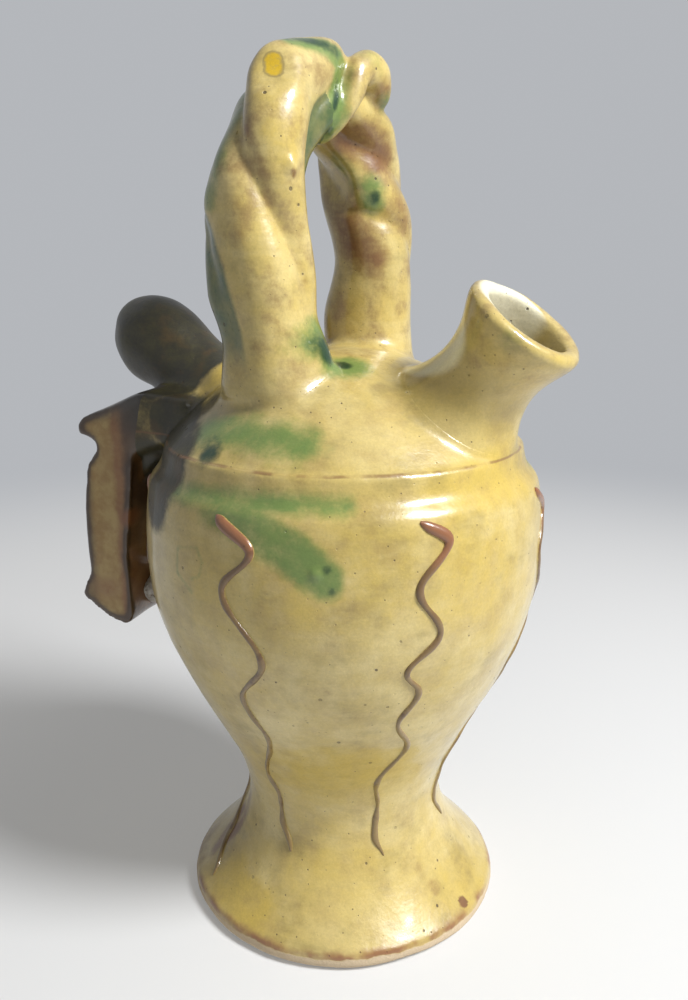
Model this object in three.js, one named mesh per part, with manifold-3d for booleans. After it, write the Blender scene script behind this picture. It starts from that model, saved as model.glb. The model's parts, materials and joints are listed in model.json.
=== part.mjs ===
// Glazed clay water jug with a twisted arch handle, a wide filling mouth and a
// drinking spout. Millimetres, +Z up. The origin is the centre of the flat base,
// +X points to the filling mouth, -X to the spout, and the handle arches over Y.

import * as THREE from 'three';
import { mergeVertices } from 'three/addons/utils/BufferGeometryUtils.js';
import Module from 'manifold-3d';

const wasm = await Module();
wasm.setup();

// Room left where one piece is seated on another.
const seatGap = 0.3;

// Thrown body: a hollow foot, the belly, and a dome that closes it.
const wall = 5;
const baseThickness = 7;
const groundRadius = 53.6;
const footRadius = 55.3;
const rimHeight = 5.6;
const waistRadius = 34.6;
const waistHeight = 38;
const bellyRadius = 66;
const bellyRise = 92;
const ridgeRadius = 63;
const ridgeRise = 24.5;
const seamRadius = 58.6;
const collarRise = 9.9;
const domeStep = 1;
const domeRise = 29.4;

// Filling mouth, on its own axis in the XZ plane.
const mouthReach = 43;
const mouthTilt = 53.5;
const mouthLength = 33.2;
const mouthRimRadius = 18.9;
const mouthNeckRadius = 16.5;
const mouthFlareRadius = 24.5;
const mouthBoreRadius = 13.4;
const mouthLipWall = 3.9;

// Drinking spout, on its own axis in the XZ plane.
const spoutReach = 47;
const spoutTilt = 27;
const spoutLength = 55.4;
const spoutRootRadius = 17;
const spoutNeckRadius = 12.3;
const spoutBulbRadius = 16;
const spoutTipRadius = 7.5;
const spoutWall = 3.8;
const spoutHoleRadius = 3;
const spoutPassageRadius = 6;

// Handle: three clay rolls twisted together in one arch.
const handleRise = 88.4;
const ropeRadius = 14.2;
const grooveDepth = 4.4;
const nearLegGrowth = 0.04;
const farLegGrowth = 0;
const legFlare = 0.24;
const crestPinch = 0.22;
const nearLegReach = 30;
const farLegReach = 24.5;
const loopRadius = 4;

// Plaque, hung under the spout and turned a little about the jug's axis.
const plaqueTurn = 12;
const plaqueWidth = 36;
const plaqueReach = 92.5;
const plaqueThickness = 17.3;
const plaqueHeight = 85.5;
const plaqueTopRise = 14;
const webWidth = 15;
const webCoreWidth = 7;
const propWidth = 22;
const propHeight = 13;

// Wavy ribs: trailed coils of red clay, from under the ridge down to the foot.
const ribWidth = 3;
const ribHeight = 1.7;
const ribTopDrop = 3;
const ribEndZ = 27;
const longRibEndZ = 8;

// Levels that follow from the sizes above.
const bellyZ = waistHeight + bellyRise;
const ridgeZ = bellyZ + ridgeRise;
const seamZ = ridgeZ + collarRise;
const domeTopZ = seamZ + domeRise;

const glaze = { cream: 0xd8c48c, yellow: 0xd9b85a, green: 0x4f6a4a, pale: 0xb9b58a, red: 0x8a4f36 };

function material(color, roughness = 0.22) {
  return new THREE.MeshStandardMaterial({ color, roughness, metalness: 0 });
}

// Solids and booleans.

function signedVolume(position, index) {
  const [a, b, c] = [new THREE.Vector3(), new THREE.Vector3(), new THREE.Vector3()];
  let volume = 0;
  for (let i = 0; i < index.length; i += 3) {
    a.fromBufferAttribute(position, index[i]);
    b.fromBufferAttribute(position, index[i + 1]);
    c.fromBufferAttribute(position, index[i + 2]);
    volume += a.dot(b.cross(c)) / 6;
  }
  return volume;
}

function solid(geometry) {
  geometry.deleteAttribute('normal');
  geometry.deleteAttribute('uv');
  const merged = mergeVertices(geometry, 1e-3);
  const source = merged.index.array;
  const index = [];
  for (let i = 0; i < source.length; i += 3) {
    const [a, b, c] = [source[i], source[i + 1], source[i + 2]];
    if (a !== b && b !== c && c !== a) index.push(a, b, c);
  }
  if (signedVolume(merged.attributes.position, index) < 0) index.reverse();
  return new wasm.Manifold(new wasm.Mesh({
    numProp: 3,
    vertProperties: new Float32Array(merged.attributes.position.array),
    triVerts: new Uint32Array(index),
  }));
}

function geometryOf(manifold) {
  const mesh = manifold.getMesh();
  const geometry = new THREE.BufferGeometry();
  geometry.setAttribute('position', new THREE.BufferAttribute(mesh.vertProperties, 3));
  geometry.setIndex(new THREE.BufferAttribute(mesh.triVerts, 1));
  geometry.computeVertexNormals();
  return geometry;
}

// Profiles: lists of (radius, height) points.

function point(radius, height) {
  return new THREE.Vector2(radius, height);
}

function bend(from, fromHandle, toHandle, to, steps) {
  return new THREE.CubicBezierCurve(from, fromHandle, toHandle, to).getPoints(steps);
}

// Moves a profile sideways: a positive distance goes out, away from the axis.
function offset(profile, distance) {
  return profile.map((here, i) => {
    const before = profile[Math.max(i - 1, 0)];
    const after = profile[Math.min(i + 1, profile.length - 1)];
    const along = after.clone().sub(before).normalize();
    return point(Math.max(here.x + along.y * distance, 0), here.y - along.x * distance);
  });
}

// The part of a rising profile above a level, with a point exactly on it.
function above(profile, level) {
  const first = profile.findIndex((p) => p.y > level);
  const low = profile[first - 1];
  const high = profile[first];
  const t = (level - low.y) / (high.y - low.y);
  return [point(THREE.MathUtils.lerp(low.x, high.x, t), level), ...profile.slice(first)];
}

function radiusAt(profile, level) {
  const i = Math.max(profile.findIndex((p) => p.y >= level), 1);
  const low = profile[i - 1];
  const high = profile[i];
  return THREE.MathUtils.lerp(low.x, high.x, (level - low.y) / (high.y - low.y));
}

function heightAt(profile, radius) {
  const i = Math.max(profile.findIndex((p) => p.x <= radius), 1);
  const outer = profile[i - 1];
  const inner = profile[i];
  return THREE.MathUtils.lerp(outer.y, inner.y, (outer.x - radius) / (outer.x - inner.x));
}

// A closed profile turned about the Z axis.
function turned(profile, segments = 42) {
  const closed = [...profile, profile[0]];
  const geometry = new THREE.LatheGeometry(closed, segments);
  geometry.rotateX(Math.PI / 2);
  return geometry;
}

const footOuter = [
  point(groundRadius, 0),
  point(footRadius, 0.35 * rimHeight),
  ...bend(
    point(0.984 * footRadius, rimHeight),
    point(0.873 * footRadius, 1.98 * rimHeight),
    point(waistRadius, waistHeight * 0.62),
    point(waistRadius, waistHeight),
    8,
  ),
];

const bellyOuter = [
  ...bend(
    point(waistRadius, waistHeight),
    point(waistRadius, waistHeight + 0.26 * bellyRise),
    point(bellyRadius, waistHeight + 0.54 * bellyRise),
    point(bellyRadius, bellyZ),
    10,
  ),
  ...bend(
    point(bellyRadius, bellyZ),
    point(bellyRadius, bellyZ + 0.38 * ridgeRise),
    point(1.035 * ridgeRadius, ridgeZ - 0.22 * ridgeRise),
    point(1.008 * ridgeRadius, ridgeZ - 0.05 * ridgeRise),
    4,
  ).slice(1),
];

const collarOuter = bend(
  point(0.986 * ridgeRadius, ridgeZ + 0.06 * collarRise),
  point(1.01 * seamRadius, ridgeZ + 0.28 * collarRise),
  point(1.012 * seamRadius, ridgeZ + 0.6 * collarRise),
  point(seamRadius, seamZ),
  3,
);

const domeOuter = bend(
  point(seamRadius - domeStep, seamZ),
  point(0.843 * seamRadius, seamZ + 0.31 * domeRise),
  point(0.51 * seamRadius, domeTopZ),
  point(0, domeTopZ),
  9,
);

const bodyOuter = [...footOuter, ...bellyOuter.slice(1), ...collarOuter, ...domeOuter];

// The whole outside of the body, grown by the seat gap, that seated pieces are cut by.
const envelope = solid(turned([
  point(0, -seatGap),
  point(groundRadius + seatGap, -seatGap),
  ...offset(bodyOuter, seatGap).slice(0, -1),
  point(0, domeTopZ + seatGap),
]));

// Keeps the filling mouth's foot on the dome, off the collar.
const collarGuard = solid(turned([
  point(0, ridgeZ - collarRise),
  point(2 * bellyRadius, ridgeZ - collarRise),
  point(2 * bellyRadius, seamZ + seatGap),
  point(0, seamZ + seatGap),
]));

// Placing on an inclined axis: the local Z axis leaves the dome in the XZ plane.
function axisFrame(reach, tilt, side) {
  const angle = THREE.MathUtils.degToRad(tilt);
  const direction = new THREE.Vector3(side * Math.cos(angle), 0, Math.sin(angle));
  const turn = new THREE.Quaternion().setFromUnitVectors(new THREE.Vector3(0, 0, 1), direction);
  const root = new THREE.Vector3(side * reach, 0, heightAt(domeOuter, reach));
  return new THREE.Matrix4().compose(root, turn, new THREE.Vector3(1, 1, 1));
}

const mouthFrame = axisFrame(mouthReach, mouthTilt, 1);
const spoutFrame = axisFrame(spoutReach, spoutTilt, -1);

function bore(radius, low, high, frame) {
  const geometry = new THREE.CylinderGeometry(radius, radius, high - low, 24);
  geometry.rotateX(Math.PI / 2);
  geometry.translate(0, 0, (low + high) / 2);
  return solid(geometry.applyMatrix4(frame));
}

function makeFoot() {
  const inner = above(offset(footOuter.slice(2), -wall), baseThickness);
  return solid(turned([point(0, 0), ...footOuter, ...inner.reverse(), point(0, baseThickness)]));
}

function makeBelly() {
  const innerLow = offset(bellyOuter.slice(0, 11), -wall);
  const innerHigh = bend(
    point(bellyRadius - wall, bellyZ),
    point(bellyRadius - wall, bellyZ + 0.6 * ridgeRise),
    point(seamRadius - 0.4 * wall, ridgeZ),
    point(seamRadius - wall, seamZ),
    4,
  );
  const inner = [...innerLow, ...innerHigh.slice(1)];
  return solid(turned([...bellyOuter, ...collarOuter, ...inner.reverse()]));
}

function makeDome() {
  const inner = above(offset(domeOuter, -wall), seamZ);
  const shell = solid(turned([...domeOuter, point(0, domeTopZ - wall), ...inner.slice(0, -1).reverse()]));
  return shell
    .subtract(bore(mouthBoreRadius, -3 * wall, 3 * wall, mouthFrame))
    .subtract(bore(spoutPassageRadius, -4 * wall, 4 * wall, spoutFrame));
}

function makeMouth() {
  const lip = mouthLipWall / 2;
  const lipCentre = mouthLength - lip;
  const boreAtLip = mouthRimRadius - mouthLipWall;
  const outside = [
    ...bend(
      point(mouthFlareRadius, -wall),
      point(1.194 * mouthNeckRadius, 0),
      point(mouthNeckRadius, 0.22 * mouthLength),
      point(mouthNeckRadius, 0.45 * mouthLength),
      5,
    ),
    ...bend(
      point(mouthNeckRadius, 0.45 * mouthLength),
      point(mouthNeckRadius, 0.65 * mouthLength),
      point(0.984 * mouthRimRadius, 0.8 * mouthLength),
      point(mouthRimRadius, lipCentre),
      3,
    ).slice(1),
  ];
  const lipArc = [];
  for (let i = 1; i < 5; i += 1) {
    const angle = (Math.PI * i) / 5;
    const radius = mouthRimRadius - lip + lip * Math.cos(angle);
    lipArc.push(point(radius, lipCentre + lip * Math.sin(angle)));
  }
  const inside = bend(
    point(boreAtLip, lipCentre),
    point(0.947 * boreAtLip, 0.75 * mouthLength),
    point(mouthBoreRadius, 0.6 * mouthLength),
    point(mouthBoreRadius, 0.4 * mouthLength),
    3,
  );
  const profile = [
    point(mouthFlareRadius, -3 * wall),
    ...outside,
    ...lipArc,
    ...inside,
    point(mouthBoreRadius, -3 * wall),
  ];
  return solid(turned(profile, 26).applyMatrix4(mouthFrame)).subtract(envelope).subtract(collarGuard);
}

const spoutNeckAt = 0.25 * spoutLength;
const spoutBulbAt = 0.69 * spoutLength;
const spoutOutside = [
  ...bend(
    point(spoutRootRadius, 0),
    point(1.13 * spoutNeckRadius, 0.09 * spoutLength),
    point(spoutNeckRadius, 0.16 * spoutLength),
    point(spoutNeckRadius, spoutNeckAt),
    3,
  ),
  ...bend(
    point(spoutNeckRadius, spoutNeckAt),
    point(spoutNeckRadius, 0.42 * spoutLength),
    point(spoutBulbRadius, 0.52 * spoutLength),
    point(spoutBulbRadius, spoutBulbAt),
    5,
  ).slice(1),
  ...bend(
    point(spoutBulbRadius, spoutBulbAt),
    point(spoutBulbRadius, 0.82 * spoutLength),
    point(1.533 * spoutTipRadius, 0.93 * spoutLength),
    point(spoutTipRadius, 0.975 * spoutLength),
    5,
  ).slice(1),
  point(0.733 * spoutTipRadius, spoutLength),
];

// The spout's outside, grown by the seat gap, that the plaque and its web are cut by.
const spoutEnvelope = solid(turned([
  point(0, -4 * wall),
  point(spoutRootRadius + seatGap, -4 * wall),
  ...offset(spoutOutside, seatGap),
  point(0, spoutLength + seatGap),
], 24).applyMatrix4(spoutFrame));

function makeSpout() {
  const bulbInside = spoutBulbRadius - spoutWall;
  const inside = [
    point(spoutHoleRadius, spoutLength),
    point(spoutHoleRadius, spoutLength - spoutWall),
    point(0.713 * bulbInside, 0.84 * spoutLength),
    point(bulbInside, spoutBulbAt),
    point(0.918 * bulbInside, 0.5 * spoutLength),
    point(spoutNeckRadius - spoutWall, spoutNeckAt),
    point(spoutNeckRadius - spoutWall, -4 * wall),
  ];
  const profile = [point(spoutRootRadius, -4 * wall), ...spoutOutside, ...inside];
  return solid(turned(profile, 24).applyMatrix4(spoutFrame)).subtract(envelope);
}

// A closed skin over rings of equal length, capped at both ends. Where the first point is
// an apex, both quads that meet there are split from it, so twisted neighbours stay parallel.
function skin(rings, fromApex = false) {
  const count = rings[0].length;
  const positions = rings.flat().flatMap((p) => [p.x, p.y, p.z]);
  const index = [];
  for (let ring = 0; ring + 1 < rings.length; ring += 1) {
    for (let k = 0; k < count; k += 1) {
      const next = (k + 1) % count;
      const [a, b] = [ring * count + k, ring * count + next];
      const [c, d] = [a + count, b + count];
      if (fromApex && next === 0) index.push(a, b, c, b, d, c);
      else index.push(a, b, d, a, d, c);
    }
  }
  const last = (rings.length - 1) * count;
  for (let k = 1; k + 1 < count; k += 1) {
    index.push(0, k + 1, k);
    index.push(last, last + k, last + k + 1);
  }
  const geometry = new THREE.BufferGeometry();
  geometry.setAttribute('position', new THREE.Float32BufferAttribute(positions, 3));
  geometry.setIndex(index);
  return geometry;
}

// The arch's centreline: x, y and drop below the crest, from the near foot to the far one.
const crestZ = domeTopZ + handleRise - ropeRadius;
const footDrop = crestZ - domeTopZ;
const archPoints = [
  [-0.46 * ropeRadius, -0.93 * nearLegReach, 1.16 * footDrop],
  [-0.56 * ropeRadius, -1.02 * nearLegReach, 0.72 * footDrop],
  [-0.67 * ropeRadius, -1.03 * nearLegReach, 0.5 * footDrop],
  [-0.49 * ropeRadius, -0.96 * nearLegReach, 0.16 * footDrop],
  [-0.39 * ropeRadius, -0.64 * nearLegReach, 0.015 * footDrop],
  [-0.46 * ropeRadius, 0, -0.04 * footDrop],
  [-0.56 * ropeRadius, 0.5 * farLegReach, 0.09 * footDrop],
  [-0.49 * ropeRadius, 0.8 * farLegReach, 0.25 * footDrop],
  [-0.31 * ropeRadius, farLegReach, 0.58 * footDrop],
  [-0.35 * ropeRadius, 1.02 * farLegReach, 1.16 * footDrop],
];
const arch = new THREE.CatmullRomCurve3(
  archPoints.map(([x, y, drop]) => new THREE.Vector3(x, y, crestZ - drop)),
);

// The rolls press on each other along three grooves. Share of the arch, then the angle in
// degrees of the grooves back to front, front to middle and middle to back.
const grooves = [
  [0, 140, 45, -95],
  [0.08, 124, 27, -108],
  [0.27, 40, -46, -150],
  [0.4, 22, -140, -245],
  [0.5, -5, -165, -270],
  [0.62, -85, -200, -320],
  [0.7, -140, -250, -375],
  [0.79, -200, -375, -465],
  [1, -212, -400, -485],
];
const grooveAngles = new THREE.CubicInterpolant(
  grooves.map(([share]) => share),
  grooves.flatMap((row) => row.slice(1)),
  3,
);

// Across the arch the first direction stays near +X, and angles are counted from there.
function archFrame(u) {
  const centre = arch.getPointAt(u);
  const tangent = arch.getTangentAt(u);
  const across = new THREE.Vector3(1, 0, 0).addScaledVector(tangent, -tangent.x).normalize();
  const side = new THREE.Vector3().crossVectors(tangent, across);
  return { centre, across, side };
}

// How much the rolls swell towards the legs' feet and are nipped in under the loop.
function ropeScale(u) {
  const footward = Math.max(0, 1 - Math.min(u, 1 - u) / 0.16);
  const pinch = Math.exp(-(((u - 0.53) / 0.07) ** 2));
  const growth = THREE.MathUtils.lerp(nearLegGrowth, farLegGrowth, u);
  return 1 + growth + legFlare * footward ** 2 - crestPinch * pinch;
}

const crownSteps = 7;

// One roll's crown, from groove to groove: angles round the arch and distances from it.
function crown(u, roll) {
  const angles = [...grooveAngles.evaluate(u)];
  angles.push(angles[0] - 360);
  const points = [];
  for (let k = 0; k <= crownSteps; k += 1) {
    const t = (2 * k) / crownSteps - 1;
    const angle = THREE.MathUtils.lerp(angles[roll + 1], angles[roll], k / crownSteps);
    const height = ropeRadius - grooveDepth * (1 - (1 - t * t) ** 0.7);
    points.push([THREE.MathUtils.degToRad(angle), height * ropeScale(u)]);
  }
  return points;
}

function roundArch({ centre, across, side }, angle, distance) {
  return centre.clone()
    .addScaledVector(across, Math.cos(angle) * distance)
    .addScaledVector(side, Math.sin(angle) * distance);
}

// A roll's section: its crown, and flat flanks where it presses on its two neighbours.
function strandRing(u, roll) {
  const frame = archFrame(u);
  const points = crown(u, roll);
  const [from] = points[0];
  const [to] = points[crownSteps];
  const shift = seatGap / 2 / Math.sin((to - from) / 2);
  frame.centre = roundArch(frame, (from + to) / 2, shift);
  return [frame.centre, ...points.map(([angle, distance]) => roundArch(frame, angle, distance))];
}

// The section of all three rolls as one, grown by the seat gap.
function ropeRing(u) {
  const frame = archFrame(u);
  return [2, 1, 0].flatMap((roll) => crown(u, roll).slice(1))
    .map(([angle, distance]) => roundArch(frame, angle, distance + seatGap));
}

function alongArch(ringAt, fromApex = false) {
  const steps = 42;
  const rings = [];
  for (let i = 0; i <= steps; i += 1) rings.push(ringAt(i / steps));
  return solid(skin(rings, fromApex));
}

const rollNames = ['handle_roll_front', 'handle_roll_middle', 'handle_roll_back'];

// A thin roll laid over the crest from the groove below it. Share of the arch, angle in
// degrees, and how far its centre stands off the rolls, as a share of its radius.
const wraps = [
  [0.465, 75, 0.25], [0.485, 50, 0], [0.505, 15, 0], [0.52, -17, 0.12],
  [0.545, -36, 0.55], [0.575, -34, 0.55], [0.596, -24, 0.2], [0.612, -16, -0.38], [0.622, -8, -1],
];

function makeLoop() {
  const path = wraps.map(([u, degrees, lift]) => {
    const rise = ropeRadius * ropeScale(u) + lift * loopRadius;
    return roundArch(archFrame(u), THREE.MathUtils.degToRad(degrees), rise);
  });
  const section = new THREE.Shape().absarc(0, 0, loopRadius, 0, 2 * Math.PI);
  const tube = new THREE.ExtrudeGeometry(section, {
    steps: 18,
    curveSegments: 6,
    extrudePath: new THREE.CatmullRomCurve3(path),
  });
  return solid(tube).subtract(alongArch(ropeRing));
}

// The plaque's side outline: x out from the jug's axis, y up.
const plaqueTopZ = seamZ + plaqueTopRise;
const plaqueLowZ = plaqueTopZ - plaqueHeight;
const plaqueBack = plaqueReach - plaqueThickness;

// A spot beside the plaque, given as shares: of the thickness from its back, and of its height.
function at(across, up) {
  return [plaqueBack + across * plaqueThickness, plaqueLowZ + up * plaqueHeight];
}

function plaqueOutline() {
  const shape = new THREE.Shape();
  shape.moveTo(...at(-0.46, 1));
  shape.quadraticCurveTo(...at(0.06, 0.947), ...at(0.827, 0.885));
  shape.quadraticCurveTo(...at(1.127, 0.854), ...at(1.012, 0.807));
  shape.quadraticCurveTo(...at(0.538, 0.792), ...at(0.63, 0.743));
  shape.quadraticCurveTo(...at(0.942, 0.684), ...at(0.942, 0.626));
  shape.lineTo(...at(1.012, 0.5));
  shape.lineTo(...at(0.971, 0.216));
  shape.quadraticCurveTo(...at(1.081, 0.17), ...at(1.185, 0.117));
  shape.quadraticCurveTo(...at(1.197, 0.096), ...at(1.087, 0.088));
  shape.quadraticCurveTo(...at(0.653, 0.018), ...at(0.19, 0));
  shape.quadraticCurveTo(...at(-0.01, 0.012), ...at(0, 0.07));
  shape.lineTo(...at(0.035, 0.304));
  shape.lineTo(...at(-0.09, 0.538));
  shape.lineTo(...at(-0.254, 0.819));
  return shape.getPoints(5);
}

// Moves a closed outline that runs clockwise outwards.
function swell(outline, distance) {
  const count = outline.length;
  return outline.map((here, i) => {
    const before = outline[(i + count - 1) % count];
    const after = outline[(i + 1) % count];
    const along = after.clone().sub(before).normalize();
    return point(here.x - along.y * distance, here.y + along.x * distance);
  });
}

// Stands an outline upright on the spout's side of the jug, centred on its width.
function upright(outline, width) {
  const shape = new THREE.Shape(outline);
  const geometry = new THREE.ExtrudeGeometry(shape, { depth: width, bevelEnabled: false });
  geometry.translate(0, 0, -width / 2);
  geometry.rotateX(Math.PI / 2);
  geometry.rotateZ(Math.PI + THREE.MathUtils.degToRad(plaqueTurn));
  return solid(geometry);
}

const plaqueEnvelope = upright(swell(plaqueOutline(), seatGap), plaqueWidth + 2 * seatGap);

function makePlaque() {
  return upright(plaqueOutline(), plaqueWidth).subtract(spoutEnvelope).subtract(envelope);
}

// The web fills the corner between the plaque, the spout and the dome. Its free edge
// drops from the collar to the plaque, and a thinner core goes on down the belly.
function makeWeb() {
  const inside = seamRadius - wall;
  const level = (up) => point(inside, plaqueLowZ + up * plaqueHeight);
  const upper = [
    level(0.906),
    point(...at(-0.03, 0.906)),
    point(...at(0.17, 0.49)),
    point(...at(-0.23, 0.64)),
    level(0.84),
  ];
  const core = [
    level(0.86),
    point(...at(0, 0.813)),
    point(...at(0.17, 0.25)),
    level(0.25),
  ];
  return upright(upper, webWidth)
    .add(upright(core, webCoreWidth))
    .subtract(plaqueEnvelope)
    .subtract(spoutEnvelope)
    .subtract(envelope);
}

// A rough lump of clay that props the plaque's lower end off the belly.
function makeProp() {
  const low = plaqueLowZ + 0.04 * plaqueHeight;
  const geometry = new THREE.SphereGeometry(1, 14, 9);
  const depth = plaqueReach - bellyRadius + plaqueThickness;
  geometry.scale(depth / 2, propWidth / 2, propHeight / 2);
  geometry.translate(-THREE.MathUtils.lerp(bellyRadius, plaqueBack, 0.33), 0, low + propHeight / 2);
  geometry.rotateZ(THREE.MathUtils.degToRad(plaqueTurn));
  return solid(geometry).subtract(plaqueEnvelope).subtract(envelope);
}

// Each rib sways from side to side: share of the way down, and millimetres aside.
const swayA = [
  [0, -5.4], [0.076, 7.2], [0.173, -2.6], [0.341, 8.8], [0.478, -2.3],
  [0.598, 1.3], [0.775, -7], [0.831, -4.4], [0.912, -4.8], [1, 0.3],
];
const swayB = [
  [0, -1.8], [0.048, 7.4], [0.157, -2], [0.265, 5.2], [0.365, -3.9], [0.426, 1.4],
  [0.518, -3.1], [0.614, 2.7], [0.755, -3.4], [0.847, -1.2], [0.944, -1.7], [1, 1],
];
const swayC = [
  [0, 3], [0.09, -4], [0.2, 5], [0.32, -3], [0.44, 4], [0.55, -3],
  [0.66, 2.5], [0.77, -3], [0.86, -2], [0.93, 6], [1, 20],
];
const ribs = [
  { azimuth: -147, sway: swayC, endZ: longRibEndZ },
  { azimuth: -87.5, sway: swayA, endZ: ribEndZ },
  { azimuth: -38, sway: swayB, endZ: ribEndZ },
  { azimuth: 15, sway: swayA, endZ: ribEndZ },
  { azimuth: 66, sway: swayB, endZ: ribEndZ },
  { azimuth: 118, sway: swayA, endZ: ribEndZ },
];

function swayAt(sway, share) {
  const i = Math.max(sway.findIndex(([from]) => from >= share), 1);
  const [from, asideFrom] = sway[i - 1];
  const [to, asideTo] = sway[i];
  const t = (share - from) / (to - from);
  return THREE.MathUtils.lerp(asideFrom, asideTo, (1 - Math.cos(Math.PI * t)) / 2);
}

function ribPlace({ azimuth, sway, endZ }, share) {
  const z = THREE.MathUtils.lerp(ridgeZ - ribTopDrop, endZ, share);
  const radius = radiusAt(bodyOuter, z);
  const slope = (radiusAt(bodyOuter, z + 1) - radiusAt(bodyOuter, z - 1)) / 2;
  const angle = THREE.MathUtils.degToRad(azimuth) + swayAt(sway, share) / radius;
  const [c, s] = [Math.cos(angle), Math.sin(angle)];
  const normal = new THREE.Vector3(c, s, -slope).normalize();
  const spot = new THREE.Vector3(radius * c, radius * s, z).addScaledVector(normal, seatGap);
  return { spot, normal };
}

function makeRib(rib) {
  const steps = 36;
  const places = [];
  for (let i = 0; i <= steps; i += 1) places.push(ribPlace(rib, i / steps));
  const rings = places.map(({ spot, normal }, i) => {
    const before = places[Math.max(i - 1, 0)].spot;
    const after = places[Math.min(i + 1, steps)].spot;
    const side = new THREE.Vector3().crossVectors(normal, after.clone().sub(before)).normalize();
    const end = Math.min(i, steps - i);
    const scale = end === 0 ? 0.45 : 1 - 0.2 * (i / steps);
    const ring = [];
    for (let k = 0; k <= 4; k += 1) {
      const angle = (Math.PI * k) / 4;
      const across = (ribWidth / 2) * scale * Math.cos(angle);
      const lift = ribHeight * scale * Math.sin(angle);
      ring.push(spot.clone().addScaledVector(side, across).addScaledVector(normal, lift));
    }
    return ring;
  });
  return solid(skin(rings));
}

const group = new THREE.Group();
function add(name, manifold, finish) {
  const mesh = new THREE.Mesh(geometryOf(manifold), finish);
  mesh.name = name;
  group.add(mesh);
}

add('foot', makeFoot(), material(glaze.cream));
add('belly', makeBelly(), material(glaze.cream));
add('dome', makeDome(), material(glaze.cream));
add('filling_mouth', makeMouth(), material(glaze.cream));
add('drinking_spout', makeSpout(), material(glaze.green));
rollNames.forEach((name, roll) => {
  const color = name === 'handle_roll_back' ? glaze.green : glaze.cream;
  const strand = alongArch((u) => strandRing(u, roll), true);
  add(name, strand.subtract(envelope), material(color));
});
add('handle_loop', makeLoop(), material(glaze.pale));
add('plaque', makePlaque(), material(glaze.yellow));
add('plaque_web', makeWeb(), material(glaze.green));
add('plaque_prop', makeProp(), material(glaze.pale, 0.7));
ribs.forEach((rib, i) => add(`wavy_rib_${i + 1}`, makeRib(rib), material(glaze.red)));

export default group;
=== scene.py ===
import json
import math

import bmesh
import bpy
import numpy as np
from mathutils import Matrix, Vector
from mathutils.bvhtree import BVHTree
from mathutils.kdtree import KDTree

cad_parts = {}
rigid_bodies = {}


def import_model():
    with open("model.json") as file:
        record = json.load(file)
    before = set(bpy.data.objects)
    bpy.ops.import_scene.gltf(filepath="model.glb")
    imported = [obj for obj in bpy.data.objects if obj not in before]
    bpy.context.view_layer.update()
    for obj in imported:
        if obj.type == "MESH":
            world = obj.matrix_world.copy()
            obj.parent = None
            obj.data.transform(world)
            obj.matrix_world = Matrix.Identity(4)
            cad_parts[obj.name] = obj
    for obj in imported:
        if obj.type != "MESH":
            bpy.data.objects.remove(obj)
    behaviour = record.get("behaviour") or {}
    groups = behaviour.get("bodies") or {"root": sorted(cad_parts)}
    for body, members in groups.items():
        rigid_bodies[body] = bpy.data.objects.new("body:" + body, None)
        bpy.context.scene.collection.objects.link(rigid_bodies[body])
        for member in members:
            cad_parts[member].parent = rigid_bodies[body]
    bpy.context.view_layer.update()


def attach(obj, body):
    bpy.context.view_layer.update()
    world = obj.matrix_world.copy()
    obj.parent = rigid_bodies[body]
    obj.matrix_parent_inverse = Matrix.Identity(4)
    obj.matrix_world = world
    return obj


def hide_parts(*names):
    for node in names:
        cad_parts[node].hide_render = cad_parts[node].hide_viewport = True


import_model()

mm = 0.001


# Camera, lights and the table the jug stands on.

studio = {
    "cameraPlace": (0.15557, -0.24896, 0.22172),
    "cameraTurn": (74.843, 0, 32),
    "lens": 32.244,
    "sensorWidth": 36,
    "clipStart": 0.01,
    # each lamp's name, place, power and width
    "lamps": [("keyLamp", (0.775, 0.02, 0.9), 18, 0.36),
              ("fillLamp", (-0.5, -1.0, 0.5), 0.3, 0.9)],
    "lampsAimAt": (0, 0, 0.13),
    "skyColour": (1, 0.97, 0.9, 1),
    "skyStrength": 0.13,
    "backdrop": (0.46, 0.475, 0.5, 1),
    "nearGlow": (0.8, 0.8, 0.8, 1),
    "leastGlow": 0.27,
    "floorColour": (0.78, 0.79, 0.8, 1),
    "floorRoughness": 0.8,
    "floorSize": 8,
    "floorZ": -0.0004,
    # millimetres from the jug where the glow and its tone start to change, and where both end
    "glowFrom": 120,
    "toneFrom": 200,
    "farAway": 750,
}


def addCamera():
    bpy.ops.object.camera_add(location=studio["cameraPlace"],
                              rotation=[math.radians(a) for a in studio["cameraTurn"]])
    camera = bpy.context.active_object
    camera.name = "camera"
    camera.data.lens = studio["lens"]
    camera.data.sensor_width = studio["sensorWidth"]
    camera.data.clip_start = studio["clipStart"]
    bpy.context.scene.camera = camera


def addLamp(name, place, power, size):
    bpy.ops.object.light_add(type="AREA", location=place)
    lamp = bpy.context.active_object
    lamp.name = name
    lamp.data.energy = power
    lamp.data.shape = "DISK"
    lamp.data.size = size
    towards = Vector(studio["lampsAimAt"]) - Vector(place)
    lamp.rotation_euler = towards.to_track_quat("-Z", "Y").to_euler()


def selectOnly(obj):
    bpy.ops.object.select_all(action="DESELECT")
    obj.select_set(True)
    bpy.context.view_layer.objects.active = obj


addCamera()
for lamp in studio["lamps"]:
    addLamp(*lamp)
print("camera and lamps are set")


# Small tools for shaping.

def named(obj, name):
    obj.name = obj.data.name = name
    return obj


# A new mesh by one of Blender's add operators, with nothing else selected.
def newMesh(name, add, **settings):
    bpy.ops.object.select_all(action="DESELECT")
    add(**settings)
    return named(bpy.context.active_object, name)


def applyModifier(obj, kind, **settings):
    modifier = obj.modifiers.new("step", kind)
    for key, value in settings.items():
        setattr(modifier, key, value)
    selectOnly(obj)
    bpy.ops.object.modifier_apply(modifier="step")


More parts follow.
